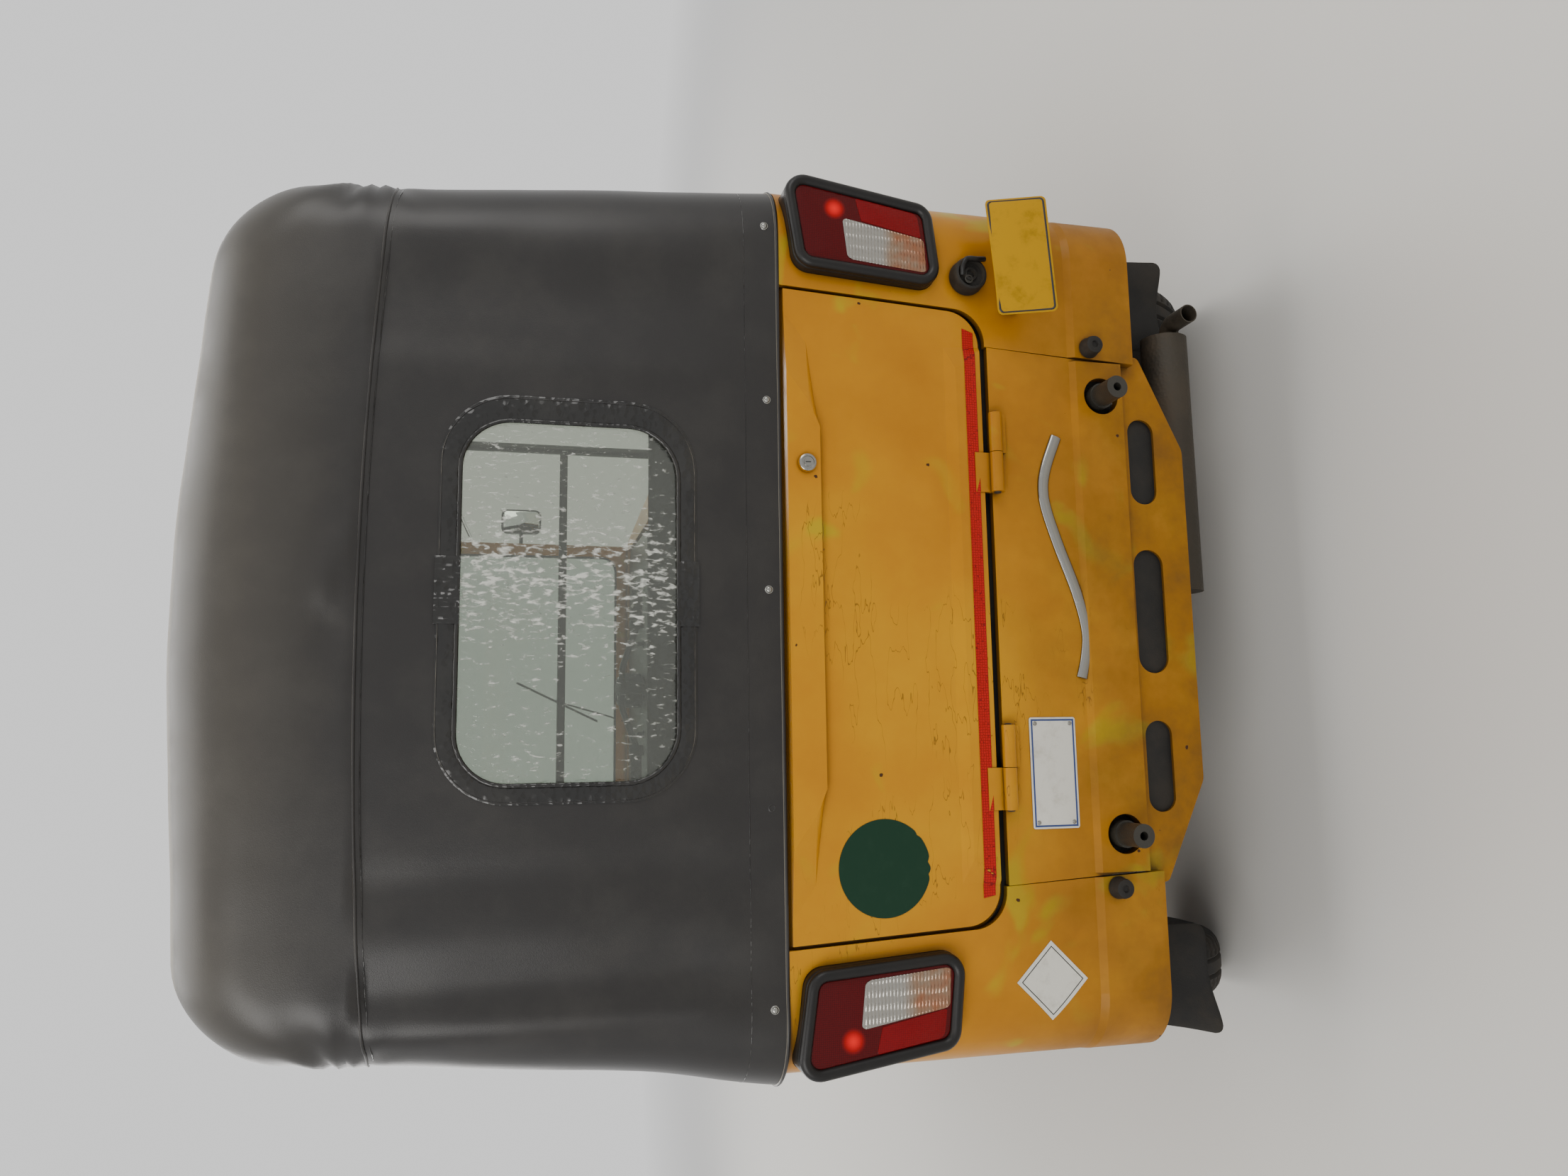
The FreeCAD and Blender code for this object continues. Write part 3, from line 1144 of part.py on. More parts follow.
def front_mudguard():
    """A channel turned about the wheel's axle, from its front edge back over the top."""
    body = new_body("front_mudguard")
    half, crown = "guard_width/2", "guard_radius + guard_wall"
    turn = revolve(body, "XZ",
                   [("-" + half, "guard_radius - guard_skirt"),
                    ("-%s + guard_wall" % half, "guard_radius - guard_skirt"),
                    ("-%s + guard_wall" % half, "guard_radius", "22"),
                    ("%s - guard_wall" % half, "guard_radius", "22"),
                    ("%s - guard_wall" % half, "guard_radius - guard_skirt"),
                    (half, "guard_radius - guard_skirt"), (half, crown, "26"),
                    ("-" + half, crown, "26")],
                   angle="Sizes.guard_front + Sizes.guard_rear")
    turn.Reversed = True
    body.Placement = Placement(Vector(0, 0, 0), Rotation(Vector(1, 0, 0), 1))
    body.setExpression("Placement.Rotation.Angle", bound("guard_front"))
    place_body(body, "0", "-front_axle", "tyre_radius")
    return body


def handlebar():
    body = new_body("handlebar")
    level = "bar_height"
    rod(body, "XY", level + " - 22", level + " + 16", "0", "0", "stem_radius")
    bent_bar(body, "XY", level,
             [("-bar_reach", "bar_sweep"), ("-bar_reach + grip_length + 20", "bar_sweep", "40"),
              ("-70", "0", "50"), ("70", "0", "50"),
              ("bar_reach - grip_length - 20", "bar_sweep", "40"), ("bar_reach", "bar_sweep")],
             "YZ", "bar_radius")
    for side in SIDES.values():
        low, high = between(side, "bar_reach - grip_length", "bar_reach")
        rod(body, "YZ", low, high, "bar_sweep", level, "grip_radius")
    rake_body(body)
    return body


def check_document():
    """Stops at an object that failed to build, however quietly."""
    doc.recompute()
    for thing in doc.Objects:
        if "Invalid" in thing.State or "Error" in thing.State:
            raise RuntimeError("%s is %s" % (thing.Name, thing.State))


SUB_PARTS = [chassis_frame, floor_pan, front_cowl, headlamp, windscreen, dashboard, mirrors,
             side_sills, rear_quarters, tail_lamps, rear_lid, lower_rear_panel, rear_bumper,
             rear_stays, rear_bulkhead, seats, driver_bulkhead, canopy, rear_window,
             canopy_frame, engine_block, muffler, rear_arms, mud_flaps, wheels, front_fork,
             front_mudguard, handlebar]

bodies = []
for build in SUB_PARTS:
    made = build()
    bodies += made if isinstance(made, list) else [made]
check_document()
for body in bodies:
    if body.Shape.isNull() or not body.Shape.isValid():
        raise RuntimeError(body.Label + " has no valid shape")

os.makedirs("parts", exist_ok=True)
for body in bodies:
    body.Shape.exportStep("parts/%s.step" % body.Label)
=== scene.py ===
# %% [markdown]
# # Dressing an auto rickshaw
#
# The CAD model gives every rigid part of the vehicle at its real size. This lesson
# dresses it: a studio and a camera behind the vehicle, finishes that look like worn
# enamel, coated cloth, rubber and lamp plastic, and then the soft and small pieces
# that a CAD solid only stands in for.

# %% The frame
import json
import math
from functools import partial

import bpy
import numpy as np
from mathutils import Matrix, Vector, noise


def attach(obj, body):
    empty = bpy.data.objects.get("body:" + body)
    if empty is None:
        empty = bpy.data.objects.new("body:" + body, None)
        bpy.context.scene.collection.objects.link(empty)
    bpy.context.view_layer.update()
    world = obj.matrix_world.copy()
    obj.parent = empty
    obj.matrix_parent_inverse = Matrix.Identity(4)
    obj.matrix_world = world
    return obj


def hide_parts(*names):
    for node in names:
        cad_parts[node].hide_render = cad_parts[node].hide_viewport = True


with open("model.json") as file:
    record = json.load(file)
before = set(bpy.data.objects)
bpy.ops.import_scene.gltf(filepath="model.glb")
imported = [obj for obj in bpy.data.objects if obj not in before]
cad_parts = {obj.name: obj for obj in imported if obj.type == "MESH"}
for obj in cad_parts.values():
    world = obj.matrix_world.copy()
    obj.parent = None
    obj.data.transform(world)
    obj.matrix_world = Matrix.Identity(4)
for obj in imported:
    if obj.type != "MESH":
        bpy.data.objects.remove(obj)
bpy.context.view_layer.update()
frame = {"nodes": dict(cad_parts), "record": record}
nodes = frame["nodes"]

# %% [markdown]
# ## Camera
#
# The photograph was taken standing behind the vehicle, a little to its left, with the
# phone held at shoulder height and turned on its side. The camera's own axes are
# written out, so that its long side stands upright as the phone's did.

# %% Camera at the photograph's place
EYE = Vector((0.227, 3.124, 1.432))
FOCAL_PIXELS, PHOTO_PIXELS, SENSOR = 1597, 2212, 36.0
turn, dip, roll = math.radians(8.46), math.radians(14.17), math.radians(-1.18)
ahead = Vector((-math.sin(turn) * math.cos(dip), -math.cos(turn) * math.cos(dip),
                -math.sin(dip)))
level_right = ahead.cross(Vector((0, 0, 1))).normalized()
level_up = level_right.cross(ahead)
right = math.cos(roll) * level_right - math.sin(roll) * level_up
up = math.sin(roll) * level_right + math.cos(roll) * level_up
camera_data = bpy.data.cameras.new("phone_camera")
camera_data.sensor_width, camera_data.lens = SENSOR, SENSOR * FOCAL_PIXELS / PHOTO_PIXELS
camera_data.clip_start, camera_data.clip_end = 0.05, 200
camera = bpy.data.objects.new("phone_camera", camera_data)
bpy.context.scene.collection.objects.link(camera)
camera.matrix_world = Matrix([*zip(-up, right, -ahead, EYE), (0, 0, 0, 1)])
bpy.context.scene.camera = camera
print("lens", round(camera_data.lens, 2), "mm")

# %% [markdown]
# ## Finishes
#
# A finish is a small net of nodes. One function adds a node with its settings and its
# links, and another turns the hex colour of a paint card into the linear numbers that
# the renderer works with. Every pattern reads Object coordinates, which on every piece
# here are metres in the vehicle's own frame, so its scale is a real size.

# %% Colour and node helpers
def tint(card):
    """A paint card's #rrggbb as linear colour."""
    steps = [int(card[i:i + 2], 16) / 255 for i in (1, 3, 5)]
    return [s / 12.92 if s <= 0.04045 else ((s + 0.055) / 1.055) ** 2.4 for s in steps] + [1]


def add_node(finish, kind, inputs=(), stops=(), **named):
    """Adds a node with its settings and links.

    Inputs come as a list in the order of its sockets, or as a dict. Of the other names,
    one with a capital is a socket, with _ for a space, and the rest are settings. An
    input that is a node is linked to its first output, and (node, output) to that one.
    A paint card is turned into its colour. A MapRange's list reads value, from min, from
    max, to min, to max."""
    node = finish.node_tree.nodes.new("ShaderNode" + kind)
    inputs = dict(inputs if isinstance(inputs, dict) else enumerate(inputs))
    for name, value in named.items():
        if name[0].isupper():
            inputs[name.replace("_", " ")] = value
        else:
            setattr(node, name, value)
    for index, (place, card) in enumerate(stops):
        ramp = node.color_ramp.elements
        stop = ramp[index] if index < len(ramp) else ramp.new(place)
        stop.position, stop.color = place, tint(card)
    for name, given in inputs.items():
        given = (given, 0) if isinstance(given, bpy.types.Node) else given
        if isinstance(given, tuple) and isinstance(given[0], bpy.types.Node):
            finish.node_tree.links.new(given[0].outputs[given[1]], node.inputs[name])
        else:
            node.inputs[name].default_value = tint(given) if isinstance(given, str) else given
    return node


SOFT = {"interpolation_type": "SMOOTHSTEP"}   # a mask with a soft edge
OVER = {"data_type": "RGBA"}                  # one colour (7) laid over another (6)
TIMES, TIMES_ADD = {"operation": "MULTIPLY"}, {"operation": "MULTIPLY_ADD"}


def new_finish(name):
    """An empty finish: its own add_node, and its place coordinates."""
    finish = bpy.data.materials.new(name)
    finish.use_nodes = True
    finish.node_tree.nodes.clear()
    add = partial(add_node, finish)
    return add, (add("TexCoord"), "Object")


def end(add, shader, kind="OutputMaterial"):
    """Ends a finish with its shader and gives it back."""
    add(kind, Surface=shader)
    return add.args[0]


# %% [markdown]
# ### Ochre enamel
#
# The body is pressed steel sprayed with ochre enamel, years ago. Up close it has what
# a plain colour lacks: cloudy fading, patches touched up with a greener yellow, road
# grime that thickens towards the ground, dust and painted shade in the seams, and small
# chips that show brown primer. Each is its own mask, laid over the paint in turn.

# %% Ochre enamel on pressed steel
def ochre_enamel(name, grime, chips):
    add, at = new_finish(name)
    clouds = add("TexNoise", {"Vector": at, "Scale": 3.1, "Detail": 5.0, "Roughness": 0.6})
    paint = add("ValToRGB", [clouds],
                stops=[(0.30, "#a96c04"), (0.52, "#b87b05"), (0.70, "#c28907")])
    patches = add("TexNoise", {"Vector": at, "Scale": 6.5, "Detail": 2.5, "Distortion": 0.8})
    touched = add("MapRange", [patches, 0.58, 0.70, 0, 0.9], **SOFT)
    # grime: stains of 20 to 60 mm, denser from the lamps' height down to the ground
    low = add("MapRange", [(add("SeparateXYZ", [at]), "Z"), 0.86, 0.28], **SOFT)
    stains = add("TexNoise", {"Vector": at, "Scale": 7.5, "Detail": 9.0, "Roughness": 0.62})
    soiled = add("MapRange", [add("Math", [low, stains], **TIMES), 0.08, 0.75, 0, grime])
    # dust and painted shade in a band of 20 mm where two surfaces meet, darker in deeper nooks
    occlusion_shade = add("AmbientOcclusion", {"Distance": 0.024}, samples=6)
    seam = add("MapRange", [(occlusion_shade, "AO"), 0.86, 0.35, 0, 0.85], **SOFT)
    # chips of 2 to 5 mm down to brown primer
    spots = add("TexVoronoi", {"Vector": at, "Scale": 30.0, "Randomness": 1.0})
    ragged = add("TexNoise", {"Vector": at, "Scale": 150.0, "Detail": 3.0})
    edge = add("Math", [ragged, 0.22, spots], **TIMES_ADD)
    hole = add("MapRange", [edge, 0.205, 0.190], **SOFT)
    chance = add("SeparateColor", [(spots, "Color")])
    some = add("MapRange", [chance, 1 - chips, 1.005 - chips], **SOFT)
    chip = add("Math", [hole, some], **TIMES)
    # scratches: fine level lines, only where another noise lets a few through
    drawn = add("Mapping", {"Vector": at, "Scale": (7, 7, 34)})
    lines = add("TexNoise", {"Vector": drawn, "Scale": 1.0, "Detail": 3.0})
    near = add("Math", [add("Math", [lines, 0.5], operation="SUBTRACT")],
               operation="ABSOLUTE")
    thin = add("MapRange", [near, 0.0045, 0.0015])
    few = add("MapRange", [clouds, 0.56, 0.64, 0, 0.65], **SOFT)
    mark = add("Math", [thin, few], **TIMES)
    base = (paint, 0)
    # laid over the paint: repaint, road grime, dust with painted shade in the seams, chips and
    # scratches
    for mask, card in ((touched, "#b0950c"), (soiled, "#5a3d15"), (seam, "#3d2a12"),
                       (chip, "#3f2410"), (mark, "#4a2f10")):
        base = (add("Mix", {0: mask, 6: base, 7: card}, **OVER), 2)
    # dirt is matt, clean paint still has its gloss
    dull = add("Math", [soiled, 0.4, 0.26], **TIMES_ADD)
    worn = add("Math", [stains, 0.16, dull], **TIMES_ADD)
    # sunken chips, dents of 100 mm and 5 mm deep at most, and orange peel of 2 mm
    dents = add("TexNoise", {"Vector": at, "Scale": 5.0, "Detail": 2.0})
    peel = add("TexNoise", {"Vector": at, "Scale": 420.0, "Detail": 1.0})
    skin = add("Bump", {"Height": chip, "Strength": 0.5, "Distance": 0.0004}, invert=True)
    for height, strength, depth in ((dents, 0.5, 0.010), (peel, 0.12, 0.0006)):
        skin = add("Bump", {"Height": height, "Strength": strength, "Distance": depth,
                            "Normal": skin})
    return end(add, add("BsdfPrincipled", Base_Color=base, Roughness=worn, Normal=skin,
                        Specular_IOR_Level=0.2, Coat_Weight=0.06, Coat_Roughness=0.12))


ochre = ochre_enamel("ochre_enamel_on_steel", 0.95, 0.07)
ochre_inside = ochre_enamel("ochre_enamel_inside", 0.5, 0.03)
print("ochre enamel nodes", len(ochre.node_tree.nodes))

# %% [markdown]
# ### Coated cloth, rubber and dark metal
#
# The canopy is polyester cloth coated with black vinyl: nearly black, a soft wide
# sheen, a grain of about 1.5 mm and a pale top, partly dust and partly a painted
# highlight, on what faces the sky and on its highest part. Rubber, moulded plastic and
# oily steel differ from it in gloss and grain, so one function makes all the dark
# finishes and their numbers tell them apart.

# %% Dark finishes
def dark_coat(name, base, dust, roughness, grain, depth, dusty=0.5, top_dust_and_highlight=0.0, **sockets):
    """A dark surface with a fine grain, in metres, and dust on what faces up. A pale top, partly
    dust and partly a painted highlight, can be laid over it.
    """
    add, at = new_finish(name)
    clouds = add("TexNoise", {"Vector": at, "Scale": 9.0, "Detail": 6.0, "Roughness": 0.65})
    upward = (add("SeparateXYZ", [(add("NewGeometry"), "Normal")]), "Z")
    lying = add("MapRange", [upward, 0.05, 1, 0.3], **SOFT)
    cloudy = add("MapRange", [clouds, 0.38, 0.72, 0, dusty], **SOFT)
    film = add("Math", [cloudy, lying], **TIMES)
    shade = (add("Mix", {0: film, 6: base, 7: dust}, **OVER), 2)
    # a pale top, partly dust and partly a painted highlight, on up-facing faces and above 1.6 m
    if top_dust_and_highlight:
        bloom = add("MapRange", [upward, 0.80, 0.99, 0, top_dust_and_highlight], **SOFT)
        high = add("MapRange", [(add("SeparateXYZ", [at]), "Z"), 1.60, 1.84, 0, 0.11], **SOFT)
        both = add("Math", [bloom, high], operation="MAXIMUM")
        shade = (add("Mix", {0: both, 6: shade, 7: "#989080"}, **OVER), 2)
    matt = add("Math", [film, 0.3, roughness], **TIMES_ADD)
    grains = add("TexVoronoi", {"Vector": at, "Scale": 1.0 / grain})
    rough = add("Bump", {"Height": grains, "Strength": depth, "Distance": grain * 0.25})
    return end(add, add("BsdfPrincipled", Base_Color=shade, Roughness=matt, Normal=rough,
                        **sockets))


canopy_vinyl = dark_coat("black_vinyl_coated_cloth", "#1d1b1a", "#46433d", 0.38, 0.0016, 0.2,
                         0.45, 0.80, Specular_IOR_Level=0.42, Sheen_Weight=0.08,
                         Sheen_Roughness=0.4)
trim_vinyl = dark_coat("glossy_black_vinyl_trim", "#100f0d", "#45423b", 0.14, 0.011, 0.6,
                       0.5, Specular_IOR_Level=0.45, Coat_Weight=0.15, Coat_Roughness=0.05)
seat_vinyl = dark_coat("dark_seat_leatherette", "#33241d", "#57493f", 0.42, 0.0024, 0.30, 0.3)
tyre_rubber = dark_coat("tyre_rubber", "#191817", "#5c4f3d", 0.78, 0.0012, 0.3, 0.85)
sheet_rubber = dark_coat("sheet_rubber", "#1a1918", "#4c4438", 0.62, 0.003, 0.3, 0.7,
                         Specular_IOR_Level=0.3)
black_plastic = dark_coat("black_moulded_plastic", "#131212", "#3a362f", 0.36, 0.0011, 0.25,
                          0.35, Specular_IOR_Level=0.3)
black_enamel = dark_coat("black_chassis_enamel", "#171615", "#463c30", 0.36, 0.02, 0.15, 0.7)
cast_alloy = dark_coat("dull_cast_aluminium", "#6d6a64", "#4a4034", 0.55, 0.003, 0.5, 0.8,
                       Metallic=0.7)
exhaust_steel = dark_coat("heat_browned_steel", "#3f3a32", "#5f5141", 0.62, 0.006, 0.4, 0.9,
                          Metallic=0.45)
tube_steel = dark_coat("greased_steel_tube", "#35332e", "#565040", 0.44, 0.003, 0.3, 0.6,
                       Metallic=0.35)
rim_enamel = dark_coat("silver_rim_enamel", "#9a9993", "#5f503c", 0.42, 0.008, 0.12, 0.9,
                       Metallic=0.35)
mat_rubber = dark_coat("floor_mat_rubber", "#232120", "#5c503e", 0.7, 0.004, 0.4, 0.9)
grip_rubber = dark_coat("soft_grip_rubber", "#1c1b1b", "#3d3a36", 0.6, 0.002, 0.3, 0.4)
print("dark finishes ready")

# %% [markdown]
# ### Glass, film, lenses and small metal
#
# Clear materials are told apart by how they bend and blur light: the windscreen is
# plain glass, the rear window a soft vinyl film that has gone wavy, with painted glints
# on its crinkles, and the lamp lenses are coloured acrylic over a bright reflector.

# %% Clear finishes
add, at = new_finish("float_glass")
window_glass = end(add, add("BsdfPrincipled", Base_Color="#e4efec", Roughness=0.03, IOR=1.5,
                            Transmission_Weight=0.92))
add, at = new_finish("mirror_glass")
mirror_glass = end(add, add("BsdfPrincipled", Base_Color="#dfe3e3", Roughness=0.04, Metallic=1.0))
add, at = new_finish("chromed_steel")
pits = add("TexNoise", {"Vector": at, "Scale": 60.0, "Detail": 4.0})
scuff = add("MapRange", [pits, 0.4, 1, 0.10, 0.5], **SOFT)
chrome = end(add, add("BsdfPrincipled", Base_Color="#8f8e89", Roughness=scuff, Metallic=1.0))

# %% Wavy vinyl film
add, at = new_finish("clear_vinyl_film")
spread = add("Mapping", {"Vector": at, "Scale": (1, 1, 0.5)})
waves = add("TexNoise", {"Vector": spread, "Scale": 22.0, "Detail": 2.0})
tall = add("Mapping", {"Vector": at, "Scale": (1, 1, 0.4)})
fine = add("TexNoise", {"Vector": tall, "Scale": 150.0, "Detail": 3.0, "Distortion": 0.4})
# waves of 40 mm from heat, and crinkles of 6 mm, most of them in the middle
shifted = add("Math", [add("SeparateXYZ", [at]), 0.03], operation="ADD")
across = add("Math", [shifted], operation="ABSOLUTE")
middle = add("MapRange", [across, 0.15, 0.0, 0.82], **SOFT)
crinkled = add("Math", [fine, middle], **TIMES)
wavy = add("Bump", {"Height": waves, "Strength": 0.35, "Distance": 0.003})
wavy = add("Bump", {"Height": crinkled, "Strength": 0.8, "Distance": 0.003, "Normal": wavy})
gloss = add("BsdfGlossy", {"Color": "#e8ebe6", "Roughness": 0.10, "Normal": wavy})
through = add("BsdfTransparent", {"Color": "#c9cdc4"})
edge_on = add("Fresnel", {"IOR": 1.42, "Normal": wavy})
share = add("Math", [middle, 0.05, edge_on], **TIMES_ADD)
# painted glints: where the crinkles peak, a matt white stands in for reflected light
painted_glint_white = add("BsdfDiffuse", {"Color": "#d6d7cf"})
painted_glint_mask = add("MapRange", [crinkled, 0.50, 0.64, 0.04, 0.8])
clear_film = end(add, add("MixShader", [
    painted_glint_mask, add("MixShader", [share, through, gloss]), painted_glint_white]))
print("film nodes", len(clear_film.node_tree.nodes))

# %% [markdown]
# ### Tail lamp acrylic
#
# A tail lamp's lens is moulded in red, with a clear window for the indicator bulb.
# Behind the red, one bulb glows: the red brightens round a point. Tiny prisms of
# 3 mm on the inner face break the colour up.

# %% Lens finishes
BULB = (0.653, 0.0, 0.910)      # on the left lamp; the right one mirrors it


def red_acrylic(name, base, deep, glow):
    add, at = new_finish(name)
    prisms = add("TexVoronoi", {"Vector": at, "Scale": 330.0, "Randomness": 0.15})
    shade = (add("Mix", {0: prisms, 6: base, 7: deep}, **OVER), 2)
    press = add("Bump", {"Height": prisms, "Strength": 0.25, "Distance": 0.0005})
    sides = add("SeparateXYZ", [at])
    across = add("Math", [sides], operation="ABSOLUTE")
    mirrored = add("CombineXYZ", [across, 0.0, (sides, "Z")])
    bulb = (add("VectorMath", [mirrored, BULB], operation="DISTANCE"), "Value")
    halo = add("MapRange", [bulb, 0.021, 0.0, 0, glow], **SOFT)
    return end(add, add("BsdfPrincipled", Base_Color=shade, Roughness=0.14, Normal=press,
                        Specular_IOR_Level=0.15, Coat_Weight=0.05, Coat_Roughness=0.05,
                        Emission_Color="#e8120c", Emission_Strength=halo))


lens_dark = red_acrylic("dark_red_acrylic", "#5c0508", "#2a0204", 1.1)
lens_red = red_acrylic("bright_red_acrylic", "#86050a", "#4d0206", 0.2)
add, at = new_finish("clear_ribbed_acrylic")
cloud = add("TexNoise", {"Vector": at, "Scale": 45.0, "Detail": 2.0})
band = add("MapRange", [(add("SeparateXYZ", [at]), "Z"), 0.835, 0.800], **SOFT)
warm = add("Math", [band, cloud], **TIMES)
shade = add("ValToRGB", [warm], stops=[(0.0, "#8d8a83"), (0.35, "#866c55"), (0.62, "#8a5330")])
lens_clear = end(add, add("BsdfPrincipled", Base_Color=shade, Roughness=0.12, Metallic=0.55,
                          Coat_Weight=0.6, Coat_Roughness=0.04))
add, at = new_finish("amber_acrylic")
lens_amber = end(add, add("BsdfPrincipled", Base_Color="#c9690f", Roughness=0.12, Coat_Weight=0.6,
                          Coat_Roughness=0.05))
add, at = new_finish("ribbed_lamp_glass")
flutes = add("TexWave", {"Vector": at, "Scale": 26.0})
moulded = add("Bump", {"Height": (flutes, "Fac"), "Strength": 0.4, "Distance": 0.002})
lamp_glass = end(add, add("BsdfPrincipled", Base_Color="#dfe4e2", Roughness=0.06, IOR=1.5,
                          Transmission_Weight=0.8, Normal=moulded))
print("lens finishes ready")

# %% [markdown]
# ### Printed film and painted sheet
#
# Stickers, tape and number plates are thin sheets with one flat colour. Their age
# shows as cloudy wear of 20 to 40 mm, so one function takes a colour and what it wears
# to. All their faces are left without lettering.

# %% Sheet finishes
def thin_coat(name, base, worn, roughness, amount=0.35, **sockets):
    add, at = new_finish(name)
    clouds = add("TexNoise", {"Vector": at, "Scale": 28.0, "Detail": 7.0, "Roughness": 0.7})
    wear = add("MapRange", [clouds, 0.48, 0.78, 0, amount], **SOFT)
    shade = (add("Mix", {0: wear, 6: base, 7: worn}, **OVER), 2)
    return end(add, add("BsdfPrincipled", Base_Color=shade, Roughness=roughness, **sockets))


green_film = thin_coat("dark_green_sticker", "#0d2f1e", "#2a4332", 0.5, 0.25,
                       Specular_IOR_Level=0.2)
white_paint = thin_coat("white_painted_sheet", "#cfcdc3", "#958b77", 0.38, 0.5)
yellow_paint = thin_coat("yellow_number_sheet", "#b38605", "#6e5214", 0.42, 0.6,
                         Specular_IOR_Level=0.15)
black_ink = thin_coat("black_print", "#141416", "#2c2a2a", 0.4)
blue_ink = thin_coat("blue_print", "#22386f", "#46557a", 0.4)
dial_white = thin_coat("dial_white", "#dcdcd4", "#c4c0b4", 0.35)
# reflective tape: a honeycomb of 4 mm cells under clear film
add, at = new_finish("red_reflective_tape")
cells = add("TexVoronoi", {"Vector": at, "Scale": 240.0, "Randomness": 0.25},
            feature="DISTANCE_TO_EDGE")
walls = add("MapRange", [cells, 0.04, 0.12])
shade = add("Mix", {0: walls, 6: "#6e0c09", 7: "#b3120c"}, **OVER)
red_tape = end(add, add("BsdfPrincipled", Base_Color=(shade, 2), Roughness=0.35,
                        Specular_IOR_Level=0.2))
print("finishes", len(bpy.data.materials))

# %% [markdown]
# ## The CAD parts get their finishes
#
# A CAD part keeps its mesh. It only gets the finish that the real one has.

# %% Finishes on the CAD nodes
FINISH_OF_SLOT = {
    "painted_steel": ochre, "black_paint": black_enamel, "brown_steel": exhaust_steel,
    "engine_metal": cast_alloy, "pipe_steel": tube_steel, "rim_paint": rim_enamel,
    "tyre": tyre_rubber, "rubber": sheet_rubber, "black_plastic": black_plastic,
    "red_lens": lens_dark, "lamp_glass": lamp_glass, "glass": window_glass,
    "vinyl_clear": clear_film, "seat_vinyl": seat_vinyl, "canopy_vinyl": canopy_vinyl,
}
for part in frame["record"]["subparts"]:
    mesh = nodes[part["node"]].data
    mesh.materials.clear()
    mesh.materials.append(FINISH_OF_SLOT[part["material_slot"]])
for name in ("floor_pan", "rear_bulkhead", "driver_bulkhead"):
    nodes[name].data.materials[0] = ochre_inside
print("dressed", len(nodes), "CAD parts")

# %% [markdown]
# ## Modelling helpers
#
# A new piece starts from one of Blender's primitives, or from a grid or a line of points
# where it follows the cloth or is bent. These few helpers do what the hand does
# between two operators: clear the selection, apply a modifier, turn the faces outward,
# and put the finished piece on the body that carries it.

# %% Helpers for modelling
def clear_selection():
    if bpy.context.mode != "OBJECT":
        bpy.ops.object.mode_set(mode="OBJECT")
    bpy.ops.object.select_all(action="DESELECT")


def edit():
    bpy.ops.object.mode_set(mode="EDIT")
    bpy.ops.mesh.select_mode(type="FACE")
    bpy.ops.mesh.select_all(action="SELECT")


def turn_outward():
    """Turns the faces of the active piece outward."""
    edit()
    bpy.ops.mesh.normals_make_consistent(inside=False)
    bpy.ops.object.mode_set(mode="OBJECT")


def face_rear(piece):
    """Turns an open sheet over if its front doesn't look to the rear."""
    if np.mean([polygon.normal.y for polygon in piece.data.polygons]) < 0:
        piece.data.flip_normals()


def modify(piece, kind, **settings):
    """Adds a modifier with its settings and applies it."""
    modifier = piece.modifiers.new(kind.lower(), kind)
    for name, setting in settings.items():
        setattr(modifier, name, setting)
    bpy.context.view_layer.objects.active = piece
    bpy.ops.object.modifier_apply(modifier=modifier.name)


def settle(name, body, finish, angle=40):
    """Names the active piece, applies its place and puts it on its body."""
    clear_selection()
    piece = bpy.context.view_layer.objects.active
    piece.select_set(True)
    bpy.ops.object.transform_apply(location=True, rotation=True, scale=True)
    piece.name = piece.data.name = name
    piece.data.materials.clear()
    piece.data.materials.append(finish)
    bpy.ops.object.shade_smooth_by_angle(angle=math.radians(angle))
    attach(piece, body)
    return piece


def mesh_piece(name, points, faces):
    """A piece made straight from its points and faces, left active and selected."""
    clear_selection()
    mesh = bpy.data.meshes.new(name)
    mesh.from_pydata([tuple(point) for point in points], [], faces)
    piece = bpy.data.objects.new(name, mesh)
    bpy.context.scene.collection.objects.link(piece)
    bpy.context.view_layer.objects.active = piece
    piece.select_set(True)
    return piece


def grid_faces(rows, wide, closed=False, start=0):
    """The faces between rows of points. In a closed grid each row is a ring."""
    return [(a + c, a + (c + 1) % wide, a + wide + (c + 1) % wide, a + wide + c)
            for a in range(start, start + (rows - 1) * wide, wide)
            for c in range(wide if closed else wide - 1)]


def get_places(piece, kind="co"):
    """The places or normals of a piece's points, one row each."""
    places = np.empty(3 * len(piece.data.vertices))
    piece.data.vertices.foreach_get(kind, places)
    return places.reshape(-1, 3)


def set_places(piece, places):
    piece.data.vertices.foreach_set("co", np.ravel(places))
    piece.data.update()


def reshape(piece, shape):
    """Moves the points of a piece: shape takes x, y, z and gives new ones."""
    set_places(piece, np.stack(shape(*get_places(piece).T), 1))


REAR = 1.430    # the rear face of the body, in metres
SIDES = {"left": 1, "right": -1}

# %% [markdown]
# ## The canopy
#
# A canopy is one sheet of coated cloth pulled over hoops. A box of cloth is laid out
# flat face by face as a grid, and each point is then moved to where the tailor's form
# puts it: rounded over the side rails, rounded again into the rear curtain, drawn in
# and down towards the windscreen. The folds are moves of a few millimetres along the
# cloth's own normal. Real coated cloth is stiff enough that modelling its folds gives
# more control than a simulation would.

# %% The canopy's form
ROUND_REAR, FRONT_EDGE = 0.104, -1.2037
FOOT, TOP, HALF = 1.0003, 1.852, 0.64   # the box of cloth: its foot, top and half width


def eased(y):
    """How far the roof has fallen towards the windscreen, from 0 to 1."""
    return np.clip((-0.5 - y) / 0.7037, 0, 1) ** 2


